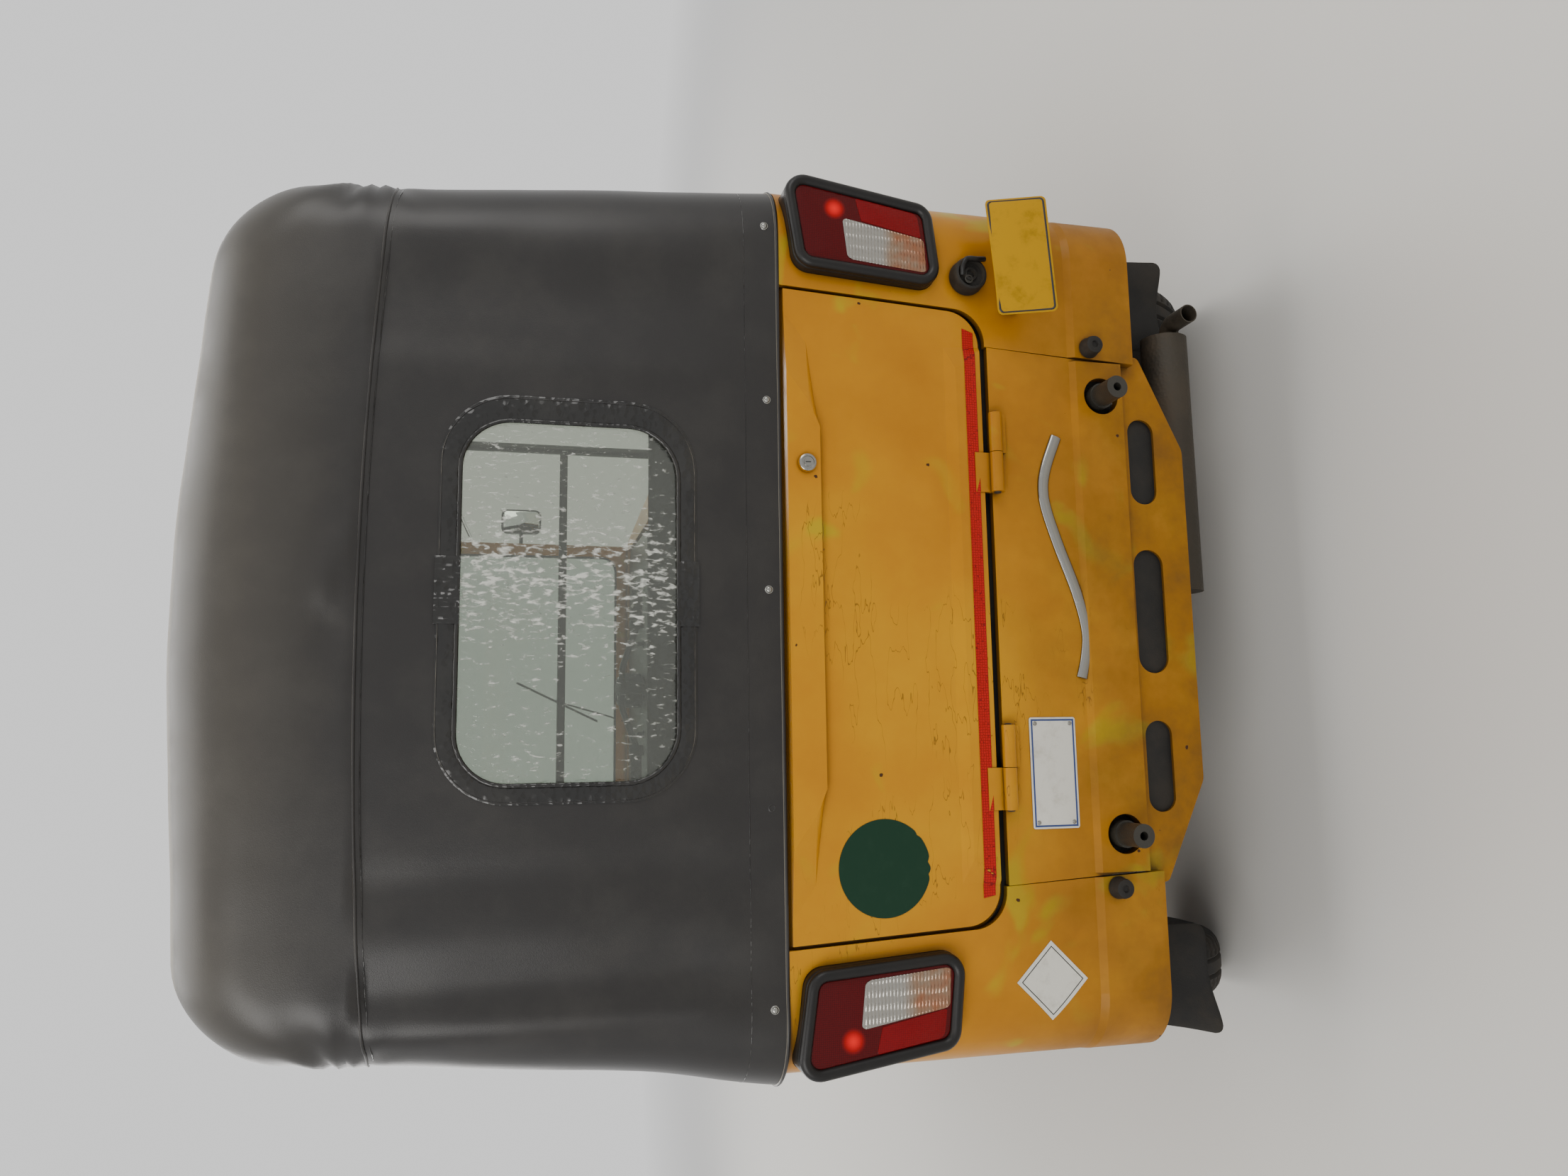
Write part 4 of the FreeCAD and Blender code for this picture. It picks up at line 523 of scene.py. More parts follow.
def on_canopy(x, z, y):
    """Moves points of a plain box of cloth to the form of the canopy."""
    fall = eased(y)
    low_half, seam_half = 0.721 - 0.107 * fall, 0.661 - 0.073 * fall
    seam, edge_half = 1.600 - 0.059 * fall, HALF - 0.056 * fall
    edge, dome = TOP - 0.104 * fall, 0.045 - 0.038 * fall
    bend = 0.140 - 0.116 * fall
    z = FOOT + (z - FOOT) * (edge - FOOT) / (TOP - FOOT)
    x = x * edge_half / HALF
    # round the rear: points near an edge go round a quarter circle
    to_side, to_top = edge_half - np.abs(x), edge - z
    near = np.minimum(to_side, to_top)
    along = np.where(y >= REAR - 1e-9, ROUND_REAR + np.minimum(near, ROUND_REAR),
                     np.clip(y - (REAR - ROUND_REAR), 0, ROUND_REAR))
    swing = math.pi / 2 * along / (2 * ROUND_REAR)
    inset = ROUND_REAR * (1 - np.cos(swing))
    near = np.clip(near, 0, ROUND_REAR)
    share = (ROUND_REAR - inset) / np.maximum(ROUND_REAR - near, 1e-6)
    to_side, to_top = [np.where(to < ROUND_REAR, inset + (to - near) * share, to)
                       for to in (to_side, to_top)]
    y = np.where(y > REAR - ROUND_REAR, REAR - ROUND_REAR + ROUND_REAR * np.sin(swing), y)
    across, z = edge_half - to_side, edge - to_top
    # round the long edges over the side rails
    over_x, over_z = across - np.minimum(across, edge_half - bend), z - np.minimum(z, edge - bend)
    scale = np.maximum(over_x, over_z) / np.maximum(np.hypot(over_x, over_z), 1e-9)
    across, z = across - over_x * (1 - scale), z - over_z * (1 - scale)
    # sides splay out towards the foot, and the top is domed
    half = np.where(z < seam, low_half + (seam_half - low_half) * (z - FOOT) / (seam - FOOT),
                    seam_half + (edge_half - seam_half) * (z - seam) / (edge - seam))
    share = across / edge_half
    crown = np.where(share > 0.285, 1 - share, 0.8575 - 1.754 * share ** 2)
    z = z + dome * crown * np.clip((z - (edge - bend)) / bend, 0, 1)
    return np.sign(x) * across * half / edge_half, y, z


def stations(*runs):
    """Places along a line: (start, end, count) runs joined end to end."""
    places = [np.linspace(start, end, count, endpoint=False) for start, end, count in runs]
    return np.append(np.concatenate(places), runs[-1][1])


ys = stations((FRONT_EDGE, 1.20, 112), (1.20, REAR, 20))
zs = stations((FOOT, 1.05, 5), (1.05, 1.54, 24), (1.54, TOP, 30))
xs = stations((-HALF, HALF, 86))
flat_points, quads = [], []
for rows, columns, point in (
        (ys, zs, lambda y, z: (HALF, z, y)), (ys[::-1], zs, lambda y, z: (-HALF, z, y)),
        (ys, xs[::-1], lambda y, x: (x, TOP, y)), (zs, xs[::-1], lambda z, x: (x, z, REAR))):
    quads += grid_faces(len(rows), len(columns), start=len(flat_points))
    flat_points += [point(row, column) for row in rows for column in columns]
x, z, y = np.array(flat_points).T
x, y, z = on_canopy(x, z, y)
canopy = mesh_piece("canopy_cloth", np.stack([x, y, z], 1), quads)
edit()
bpy.ops.mesh.remove_doubles(threshold=0.0002)
turn_outward()
print("canopy cloth", len(canopy.data.vertices), "points")

# %% [markdown]
# ### Folds and the rear flap
#
# The roof sheet laps over the rear curtain in a flap whose hem bows up in the middle.
# Under it the curtain hangs in a few soft upright folds, more of them at the left
# corner, and the roof sinks a little between its hoops.

# %% Folds
def hump(value, centre, width):
    return np.exp(-((value - centre) / width) ** 2)


def smooth(value, low, high):
    share = np.clip((value - low) / (high - low), 0, 1)
    return share * share * (3 - 2 * share)


def hem_height(x):
    """Height of the rear flap's hem."""
    return 1.596 + 0.031 * (1 - (np.clip(np.abs(x), 0, 0.66) / 0.66) ** 2)


HANGING = ((0.60, 0.024, 0.006), (0.545, 0.030, -0.007), (0.47, 0.035, 0.004),
           (0.395, 0.024, -0.003), (-0.56, 0.04, 0.004), (-0.47, 0.05, -0.003),
           (-0.36, 0.03, 0.002))        # place across, width and depth of each fold
PINCHED = ((0.007, -0.02, 0.045, 1.672, 0.020), (-0.006, 0.045, 0.035, 1.665, 0.022),
           (0.004, -0.075, 0.03, 1.650, 0.018))     # depth, place and width in x and z
HOOPS = (1.316, 0.616, -0.029, FRONT_EDGE)


def canopy_fold(x, y, z):
    """How far the cloth stands out of its form, in metres."""
    behind = smooth(y, 1.33, 1.42)
    side = smooth(np.abs(x), 0.60, 0.64) * (1 - behind)
    # the flap lies over the curtain
    lap = smooth(z, hem_height(x) - 0.004, hem_height(x) + 0.004)
    out = 0.0035 * lap * (1 - smooth(z, 1.70, 1.80)) * smooth(y, 1.26, 1.34)
    # the curtain under it: soft upright folds that die out at the window
    hang = behind * (1 - lap) * smooth(z, 1.02, 1.16)
    for place, wide, deep in HANGING:
        out += deep * hang * hump(x, place + 0.03 * (z - 1.3), wide)
    # pinched cloth over the window and under the flap's middle
    for deep, place, wide, level, tall in PINCHED:
        out += deep * behind * hump(x, place, wide) * hump(z, level, tall)
    # radial pleats at the flap's two lower corners
    for centre in (0.655, -0.655):
        angle = np.arctan2(z - 1.63, np.abs(x - centre) + 0.02)
        reach = np.hypot(z - 1.66, x - centre)
        out += 0.0035 * np.sin(9 * angle) * np.exp(-(reach / 0.085) ** 2) * smooth(y, 1.28, 1.38)
    # the roof sinks between its hoops, and the sides between rail and foot
    roof = smooth(z, 1.80, 1.86) * np.clip(1 - np.abs(x) / 0.62, 0, 1)
    for rear, front in zip(HOOPS, HOOPS[1:]):
        out -= 0.005 * np.sin(math.pi * np.clip((rear - y) / (rear - front), 0, 1)) * roof
    out -= 0.004 * side * hump(z, 1.30, 0.16) * hump(y, 1.0, 0.22)
    # the foot stands off at the left rear corner
    out += 0.014 * smooth(x, 0.58, 0.70) * (1 - smooth(z, 1.0, 1.22)) * smooth(y, 0.95, 1.30)
    return out


def wrinkles(points):
    """The fine waves of the cloth at given points, in metres."""
    long = [noise.fractal(Vector(p) * 3.2, 1.0, 2.0, 3) for p in points]
    short = [noise.noise(Vector((p[0] * 14, p[1] * 14, p[2] * 6))) for p in points]
    return 0.0022 * np.array(long) + 0.0008 * np.array(short)


def push_along_normals(piece, amount):
    """Moves each point of a mesh along its normal."""
    set_places(piece, get_places(piece) + get_places(piece, "normal") * amount[:, None])


points = get_places(canopy)
fold = canopy_fold(*points.T)
push_along_normals(canopy, fold + wrinkles(points))
modify(canopy, "SOLIDIFY", thickness=0.0024, offset=-1.0)
print("deepest fold", round(float(fold.min()) * 1000, 1), "mm")

# %% [markdown]
# ### Door openings and window
#
# The sheet is cut as the tailor cuts it: once across both sides for the doors, and
# once through the rear curtain for the window.

# %% Cutting the cloth
def cut_away(piece, points, axis, low, high):
    """Cuts a closed prism over an outline out of a piece."""
    place = {"X": lambda a, b, d: (d, a, b), "Y": lambda a, b, d: (a, d, b)}[axis]
    count = len(points)
    tool = mesh_piece("cutter", [place(a, b, level) for level in (low, high) for a, b in points],
                      grid_faces(2, count, closed=True)
                      + [tuple(range(count))[::-1], tuple(range(count, 2 * count))])
    turn_outward()
    clear_selection()
    modify(piece, "BOOLEAN", object=tool, operation="DIFFERENCE", solver="MANIFOLD")
    bpy.data.objects.remove(tool)


def rounded(corners, steps=10):
    """An outline whose (a, b, radius) corners are rounded with arcs."""
    made = []
    for i, (a, b, radius) in enumerate(corners):
        here = Vector((a, b))
        back = (Vector(corners[i - 1][:2]) - here).normalized()
        on = (Vector(corners[(i + 1) % len(corners)][:2]) - here).normalized()
        if radius <= 0:
            made.append((a, b))
            continue
        half = back.angle(on) / 2
        reach = radius / math.tan(half)
        centre = here + (back + on).normalized() * radius / math.sin(half)
        start, finish = here + back * reach - centre, here + on * reach - centre
        made += [tuple(centre + start.slerp(finish, step / steps) * radius)
                 for step in range(steps + 1)]
    return made


def rectangle(low_a, low_b, high_a, high_b, radius=0, steps=10, inside=0):
    """The outline of a rectangle with rounded corners, drawn in by a border."""
    low_a, low_b, high_a, high_b = low_a + inside, low_b + inside, high_a - inside, high_b - inside
    return rounded([(low_a, low_b, radius), (high_a, low_b, radius), (high_a, high_b, radius),
                    (low_a, high_b, radius)], steps)


door = rounded([(-1.30, 0.90, 0), (0.600, 0.90, 0), (0.600, 1.560, 0.120), (-0.5, 1.560, 0.4),
                (-1.30, 1.6495, 0)])
cut_away(canopy, door, "X", -0.80, 0.80)
cut_away(canopy, rectangle(-0.271, 1.165, 0.271, 1.490, 0.055), "Y", REAR - 0.06, REAR + 0.06)
canopy = settle("canopy_cloth", "chassis", canopy_vinyl, angle=50)
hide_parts("canopy")

# %% [markdown]
# ### Lines drawn on the cloth
#
# Piping, hems and seams follow the sheet wherever it goes. A line is drawn on the flat
# cloth, carried to the canopy's form, and then lifted along the normal there by as
# much as the folds lift the cloth itself.

# %% Helpers for lines on the cloth
def form(flat):
    x, y, z = on_canopy(*flat.T)
    return np.stack([x, y, z], 1)


def on_cloth(face, line, out=0.0):
    """Carries (x, z, y) points of the side, rear or top face to the folded cloth."""
    flat = np.array(line, float)
    here = form(flat)
    slopes = []
    for column in {"side": (2, 1), "rear": (0, 1), "top": (0, 2)}[face]:
        moved = flat.copy()
        moved[:, column] += np.where(flat[:, column] > 0, -1e-4, 1e-4)
        slopes.append(form(moved) - here)
    normal = np.cross(*slopes)
    normal /= np.maximum(np.linalg.norm(normal, axis=1), 1e-12)[:, None]
    normal *= np.sign(np.sum(normal * (here - (0, 0.2, 1.3)), 1))[:, None]
    lift = canopy_fold(*here.T) + wrinkles(here) + out
    return here + normal * lift[:, None]


def both_sides(line, middle):
    """A line along the left side, across the middle and back along the right side."""
    return np.concatenate([on_cloth("side", line), middle,
                           on_cloth("side", [(-x, z, y) for x, z, y in line[::-1]])])


def bead(name, body, finish, points, radius, closed=False, sides=2):
    """A round piping, cord edge or bar along a line of points."""
    clear_selection()
    line = bpy.data.curves.new(name, "CURVE")
    line.dimensions, line.bevel_depth, line.bevel_resolution = "3D", radius, sides
    line.use_fill_caps = not closed
    run = line.splines.new("POLY")
    run.points.add(len(points) - 1)
    run.use_cyclic_u = closed
    for spot, point in zip(run.points, points):
        spot.co = (*point, 1)
    piece = bpy.data.objects.new(name, line)
    bpy.context.scene.collection.objects.link(piece)
    bpy.context.view_layer.objects.active = piece
    piece.select_set(True)
    bpy.ops.object.convert(target="MESH")
    return settle(name, body, finish, angle=60)


def dense(points, step, closed=True, least=1):
    """A line with points added so that they are about a step apart."""
    points = [Vector(point) for point in points]
    made = []
    for a, b in zip(points, points[1:] + points[:1] * closed):
        count = max(least, int((b - a).length / step))
        made += [a.lerp(b, s / count) for s in range(count)]
    return made if closed else made + points[-1:]


def flat_height(z, y):
    """Height on the flat cloth of a line at height z on the canopy's side."""
    return FOOT + (z - FOOT) * (TOP - FOOT) / (TOP - 0.104 * eased(y) - FOOT)


# %% Piping, hems and door binding
side_seam = [(HALF, flat_height(1.600 - 0.059 * eased(y), y), y)
             for y in np.linspace(FRONT_EDGE, REAR, 110)]
rear_seam = [(x, hem_height(x * 0.661 / HALF), REAR) for x in np.linspace(HALF, -HALF, 90)]
side_seam = [(x, z + (rear_seam[0][1] - 1.600) * smooth(y, 1.2, REAR), y)
             for x, z, y in side_seam]
seam = both_sides(side_seam, on_cloth("rear", rear_seam[1:-1]))
bead("canopy_flap_hem", "chassis", canopy_vinyl, seam, 0.0022)
bead("canopy_flap_stitching", "chassis", trim_vinyl, seam - (0, 0, 0.009), 0.0007, sides=1)


def foot_line(height):
    """A line round the canopy's foot, at a height above it."""
    return both_sides([(HALF, FOOT + height, y) for y in np.linspace(0.603, REAR, 40)],
                      on_cloth("rear", [(x, FOOT + height, REAR)
                                        for x in np.linspace(0.63, -0.63, 60)]))


bead("canopy_foot_binding", "chassis", canopy_vinyl, foot_line(0.003), 0.0028)
bead("canopy_foot_stitching", "chassis", trim_vinyl, foot_line(0.058), 0.0007, sides=1)
arch = [(0.600, z) for z in np.linspace(FOOT + 0.004, 1.42, 14)] + [
    (y, z) for y, z in door if z > 1.43 and y >= FRONT_EDGE] + [(FRONT_EDGE + 0.002, 1.639)]
for side, sign in SIDES.items():
    edge = on_cloth("side", [(sign * HALF, flat_height(z, y), y)
                             for y, z in dense(arch, 0.02, closed=False)], -0.001)
    bead("canopy_door_binding_" + side, "chassis", canopy_vinyl, edge, 0.0032)
brow_y = FRONT_EDGE + 0.002
brow = both_sides([(HALF, z, brow_y) for z in np.linspace(1.73, 1.851, 12)],
                  on_cloth("top", [(x, TOP, brow_y) for x in np.linspace(0.638, -0.638, 60)]))
bead("canopy_brow_binding", "chassis", canopy_vinyl, brow, 0.0028)
print("rear hem from", [round(float(v), 3) for v in seam[110]])

# %% [markdown]
# ### Window band and film
#
# The rear window is a sheet of clear vinyl behind a glossy black band, sewn on with
# a lap at the top and at the bottom. The film has gone wavy in the heat, so it is a
# fine grid with real waves of a millimetre or two, not just a flat pane.

# %% The curtain's face near the window
def curtain(x, z, out=0.0):
    """Points on the outer face of the rear curtain, where it hangs flat."""
    x, z = np.asarray(x, float), np.asarray(z, float)
    face = np.stack([x, np.full_like(x, REAR), z], 1)
    face[:, 1] += canopy_fold(*face.T) + wrinkles(face) + out
    return face


def spread_out(line, count):
    """The same closed line with its points evenly spaced."""
    closed = np.concatenate([line, line[:1]])
    along = np.append(0, np.cumsum(np.linalg.norm(np.diff(closed, axis=0), axis=1)))
    places = np.linspace(0, along[-1], count, endpoint=False)
    return np.stack([np.interp(places, along, closed[:, i]) for i in (0, 1)], 1)


RING = 240
# both outlines start at a lower corner, so even steps stay abreast
inner_line = spread_out(np.array(rounded([
    (-0.271, 1.165, 0.080), (0.271, 1.165, 0.080), (0.271, 1.490, 0.075),
    (-0.271, 1.490, 0.075)], 14)), RING)
outer_line = spread_out(np.array(rectangle(-0.310, 1.137, 0.298, 1.519, 0.105, 14)), RING)
ring_points = []
for share in (0.0, 0.06, 0.25, 0.5, 0.75, 0.94, 1.0):
    line = inner_line + (outer_line - inner_line) * share
    crown = 0.0016 + 0.0016 * math.sin(math.pi * share) ** 0.5
    lap = 0.0013 * np.clip(1 - ((line[:, 0] + 0.012) / 0.024) ** 8, 0, 1)
    pull = 0.0004 + 0.0009 * hump(line[:, 0], -0.012, 0.09)
    pucker = pull * np.sin(np.arange(RING) * 0.9 + 3 * share) * np.sin(np.arange(RING) * 0.23)
    ring_points += list(curtain(line[:, 0], line[:, 1], crown + lap + pucker))
window_band = mesh_piece("window_band", ring_points, grid_faces(7, RING, closed=True))
turn_outward()
face_rear(window_band)
modify(window_band, "SOLIDIFY", thickness=0.0012, offset=-1.0)
window_band = settle("window_band", "chassis", trim_vinyl, angle=60)
for name, finish, share, out, radius, sides in (
        ("window_bead", trim_vinyl, -0.02, 0.0022, 0.0036, 3),
        ("window_band_stitching", canopy_vinyl, 0.88, 0.0026, 0.0009, 1)):
    line = inner_line + (outer_line - inner_line) * share
    bead(name, "chassis", finish, curtain(line[:, 0], line[:, 1], out), radius, closed=True,
         sides=sides)

# %% Laps of the band, and the wavy vinyl film
for name, low_z, high_z in (("top", 1.486, 1.522), ("bottom", 1.134, 1.168)):
    x, z = [places.ravel() for places in np.meshgrid(
        -0.062 + 0.100 * np.arange(41) / 40, low_z + (high_z - low_z) * np.arange(10) / 9)]
    wave = 0.0006 * np.sin(x * 520) + 0.0005 * np.sin(x * 190 + z * 90)
    patch = mesh_piece("window_lap_" + name, curtain(x, z, 0.0052 + wave), grid_faces(10, 41))
    face_rear(patch)
    modify(patch, "SOLIDIFY", thickness=0.0005, offset=0.0)
    patch = settle("window_lap_" + name, "chassis", trim_vinyl, angle=60)


def film_form(x, y, z):
    x, z = x * 0.541, 1.3275 + z * 0.3235
    long = np.array([noise.noise(Vector((a * 9, 0.3, b * 7))) for a, b in zip(x, z)])
    short = np.array([noise.noise(Vector((a * 42, 1.7, b * 20))) for a, b in zip(x, z)])
    return x, 1.4272 + 0.0011 * long + (0.0003 + 0.0006 * hump(x, -0.03, 0.05)) * short, z


clear_selection()
bpy.ops.mesh.primitive_grid_add(x_subdivisions=110, y_subdivisions=70, size=1,
                                rotation=(math.pi / 2, 0, 0))
film = bpy.context.object
bpy.ops.object.transform_apply(rotation=True)
reshape(film, film_form)
face_rear(film)
modify(film, "SOLIDIFY", thickness=0.0006, offset=0.0)
film = settle("window_film", "chassis", clear_film, angle=80)
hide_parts("rear_window")
print("film", [round(v, 4) for v in film.dimensions])

# %% [markdown]
# ### Snap studs
#
# The curtain's foot is held by press studs: a chromed cap of 12 mm over a flat ring.
# The second from the left has lost its cap and shows only its dark base.
# A turned piece is modelled as a lathe works: a disc is drawn, and every step extrudes
# it along the axis and widens or narrows it.

# %% Turned pieces
AXES = {"X": (0, math.pi / 2, 0), "Y": (-math.pi / 2, 0, 0), "Z": (0, 0, 0),
        "-X": (0, -math.pi / 2, 0), "-Y": (math.pi / 2, 0, 0)}
OUTWARD = {1: "X", -1: "-X"}


def turned(name, body, finish, centre, axis, steps, sides=32):
    """A turned piece on an axis or a normal. Each step is (radius, distance along it)."""
    clear_selection()
    radius, level = steps[0]
    bpy.ops.mesh.primitive_circle_add(vertices=sides, radius=radius, fill_type="NGON",
                                      location=(0, 0, level))
    bpy.ops.object.transform_apply(location=True)
    edit()
    for (last, below), (radius, level) in zip(steps, steps[1:]):
        bpy.ops.mesh.extrude_region_move(TRANSFORM_OT_translate={"value": (0, 0, level - below)})
        bpy.ops.transform.resize(value=(radius / last, radius / last, 1),
                                 center_override=(0, 0, level))
    turn_outward()
    piece = bpy.context.object
    piece.rotation_euler = (AXES[axis] if isinstance(axis, str)
                            else axis.to_track_quat("Z", "Y").to_euler())
    piece.location = centre
    return settle(name, body, finish, angle=35)


STUD = [(0.0065, 0.0), (0.0068, 0.0006), (0.0062, 0.0012), (0.0050, 0.0014), (0.0047, 0.0026),
        (0.0036, 0.0036), (0.0018, 0.0041), (0.0004, 0.0042)]
BARE = [(0.0062, 0.0), (0.0064, 0.0008), (0.0046, 0.0014), (0.0040, 0.0009), (0.0004, 0.0008)]
STUD_LINE = 1.0235
for index, x in enumerate((0.605, 0.312, -0.022, -0.327, -0.621)):
    finish, steps = (black_enamel, BARE) if index == 1 else (chrome, STUD)
    turned("snap_stud_rear_%d" % index, "chassis", finish,
           curtain([x], [STUD_LINE])[0] - (0, 0.0008, 0), "Y", steps, 20)
for side, sign in SIDES.items():
    for index, y in enumerate((1.16, 0.90, 0.66)):
        place = on_cloth("side", [(sign * HALF, STUD_LINE, y)])[0] - (sign * 0.0008, 0, 0)
        turned("snap_stud_%s_%d" % (side, index), "chassis", chrome, place, OUTWARD[sign],
               STUD, 20)
print("snap studs at", STUD_LINE)

# %% [markdown]
# ## Tail lamps
#
# Each lamp has a red acrylic lens in a black rubbery frame. The lens is dark red on
# top, brighter in its outer lower corner, and has a clear ribbed window for the
# indicator. The ribs are real geometry, since they break up the light.

# %% Plates cut to an outline
def plate(name, body, finish, outline, level, thick, bevel=0.0, border=0.0, on=None, gap=0.0003,
          cuts=(), shape=None, angle=35, segments=2):
    """A sheet over (x, z) corners that stands from a level to the rear.

    With a border, only a strip of that width is left along its edge. A sheet is first cut
    across at any given cuts, so that it can bend onto a CAD part or to a shape."""
    clear_selection()
    bpy.ops.mesh.primitive_circle_add(vertices=len(outline), fill_type="NGON")
    piece = bpy.context.object
    set_places(piece, [(x, level, z) for x, z in outline])
    if border:
        edit()
        bpy.ops.mesh.inset(thickness=border)
        bpy.ops.mesh.delete(type="FACE")
        bpy.ops.object.mode_set(mode="OBJECT")
    face_rear(piece)
    for x in cuts:
        edit()
        bpy.ops.mesh.bisect(plane_co=(x, 0, 0), plane_no=(1, 0, 0))
        bpy.ops.object.mode_set(mode="OBJECT")
    if on:
        modify(piece, "SHRINKWRAP", target=nodes[on], wrap_method="PROJECT", use_project_y=True,
               use_negative_direction=True, use_positive_direction=False, offset=gap)
    modify(piece, "SOLIDIFY", thickness=thick, offset=1.0)
    if bevel:
        modify(piece, "BEVEL", width=bevel, segments=segments, limit_method="ANGLE")
    if shape:
        reshape(piece, shape)
    return settle(name, body, finish, angle=angle)


def lamp_corners(inside):
    """Corners (x, z) of the left lens, drawn in by a border."""
    return [(0.532 + inside, 0.726 + inside), (0.676 - inside, 0.740 + inside),
            (0.711 - inside, 0.998 - inside), (0.549 + inside, 0.977 - inside)]


def across_lamp(share, z):
    """A place between the inner (0) and outer (1) edge of the lens at a height."""
    (a, b), (c, d), (e, f), (g, h) = lamp_corners(0.018)
    near, far = a + (g - a) * (z - b) / (h - b), c + (e - c) * (z - d) / (f - d)
    return near + (far - near) * share, z


def soften(u, v, top=True):
    """Rounds the corners of a square of 2 by 2: all four, or only the lower two."""
    over_u = np.clip(np.abs(u) - 0.78, 0, 1) / 0.22
    over_v = np.clip(np.maximum(-v, v * top) - 0.84, 0, 1) / 0.16
    share = np.maximum(over_u, over_v) / np.maximum(np.hypot(over_u, over_v), 1e-9)
    lost = np.where((over_u > 0) & (over_v > 0), 1 - share, 0)
    return u - np.sign(u) * over_u * 0.22 * lost, v - np.sign(v) * over_v * 0.16 * lost


# %% Lenses
LENS_BACK, LENS_FACE = 1.434, 1.4515
lens_outline = rounded([(x, z, 0.017) for x, z in lamp_corners(0.017)], 6)
frame_outline = rounded([(x, z, 0.024) for x, z in lamp_corners(0.0095)], 10)
lower_outline = rounded([(*across_lamp(share, z), radius) for share, z, radius in (
    (0.60, 0.7600, 0.003), (0.985, 0.766, 0.014), (0.985, 0.874, 0.003),
    (0.66, 0.864, 0.003))], 4)
clear_window = np.array([across_lamp(share, z) for share, z in (
    (0.045, 0.752), (0.59, 0.756), (0.645, 0.897), (0.055, 0.889))])


def rib_form(u, v, w, sign):
    """Lays a square over the clear window and raises its ribs."""
    u, v = soften(u, v)
    s, t = (u + 1) / 2, (v + 1) / 2
    x, z = clear_window.T @ np.array([(1 - s) * (1 - t), s * (1 - t), s * t, (1 - s) * t])
    rib = np.abs(np.sin(math.pi * (z - 0.757) / 0.0056)) ** 0.7
    rib *= 0.55 + 0.45 * np.abs(np.sin(math.pi * (x - clear_window[0, 0]) / 0.019))
    rib *= np.clip(np.minimum(1 - np.abs(u), 1 - np.abs(v)) / 0.05, 0, 1)
    return sign * x, LENS_FACE + 0.0010 + 0.0017 * rib, z


for side, sign in SIDES.items():
    lens = plate("lens_" + side, "chassis", lens_dark, [(sign * x, z) for x, z in lens_outline],
                 LENS_BACK, LENS_FACE - LENS_BACK, 0.003, segments=3)
    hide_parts("lamp_lens_" + side)
    bead("lamp_frame_" + side, "chassis", black_plastic,
         [(sign * x, 1.4495, z) for x, z in frame_outline], 0.0093, closed=True, sides=4)
    plate("lens_lower_" + side, "chassis", lens_red, [(sign * x, z) for x, z in lower_outline],
          LENS_FACE - 0.001, 0.0018, 0.0008)
    clear_selection()
    bpy.ops.mesh.primitive_grid_add(x_subdivisions=36, y_subdivisions=150, size=2)
    ribs = bpy.context.object
    reshape(ribs, partial(rib_form, sign=sign))
    face_rear(ribs)
    modify(ribs, "SOLIDIFY", thickness=0.0022, offset=-1.0)
    settle("lens_clear_" + side, "chassis", lens_clear, angle=50)

# %% [markdown]
# ## Things stuck and screwed to the rear
#
# Tape and stickers are thin films, so each is a cut outline pressed onto the panel
# below it by a shrinkwrap. The plates are a millimetre of painted aluminium with
# screws. All of them are blank.

# %% Tape, disc and diamond
tape = [(-0.466, 0.6645), (0.456, 0.664), (0.460, 0.684), (-0.473, 0.684)]
bends = (0, 100, 190, 192, 258, 324, 326, 380, 412, 420, 426, 432, 438, 444)
plate("reflective_tape", "rear_lid", red_tape, tape, 1.47, 0.0004, on="rear_lid",
      cuts=sorted({sign * x / 1000 for x in bends for sign in SIDES.values()}), angle=20)
disc = []
for step in range(120):
    # the edge is chipped in three places
    radius = 0.0745 - sum(deep * max(0, 1 - abs(step - spot) / wide) for spot, wide, deep in (
        (88, 2.2, 0.004), (93, 1.6, 0.003), (76, 1.5, 0.0025)))
    angle = math.tau * step / 120
    disc.append((0.408 + radius * math.cos(angle), 0.846 + radius * math.sin(angle)))
plate("green_disc", "rear_lid", green_film, disc, 1.46, 0.0004, on="rear_lid")
DIAMOND_X, DIAMOND_Z = 0.591, 0.573
for name, finish, reach, thick, border, gap in (
        ("white_diamond", white_paint, 0.061, 0.0004, 0, 0.0003),
        ("diamond_border", black_ink, 0.053, 0.0002, 0.0013, 0.0008)):
    plate(name, "chassis", finish, [
        (DIAMOND_X + reach * a, DIAMOND_Z + reach * b)
        for a, b in ((1, 0), (0, 1), (-1, 0), (0, -1))], 1.46, thick, border=border,
        on="rear_quarter_left", gap=gap,
        cuts=[DIAMOND_X + step * 0.006 for step in (*range(1, 11), 0)], angle=20)
print("films", len(disc), "points round the disc")

# %% Service plate with its screws
SERVICE = (0.179, 0.512, 0.357, 0.594)
plate("service_plate", "chassis", white_paint, rectangle(*SERVICE, 0.004, 4), REAR + 0.0003,
      0.0012, 0.0004)
plate("service_plate_border", "chassis", blue_ink, rectangle(*SERVICE, inside=0.003),
      REAR + 0.0016, 0.0002, border=0.0028)
SCREW = [(0.0034, 0.0), (0.0034, 0.0008), (0.0028, 0.0016), (0.0012, 0.0021), (0.0004, 0.0022)]
for index, (x, z) in enumerate(rectangle(*SERVICE, inside=0.010)):
    turned("service_plate_screw_%d" % index, "chassis", chrome, (x, REAR + 0.0015, z), "Y",
           SCREW, 16)
print("service plate", round((SERVICE[2] - SERVICE[0]) * 1000), "mm wide")

# %% [markdown]
# ### Number plate
#
# A pressed aluminium plate, 200 by 100 mm, that was bumped: it hangs a few degrees
# out of level and one end is bent forward. It is shaped flat and then turned and bent
# by moving its points.

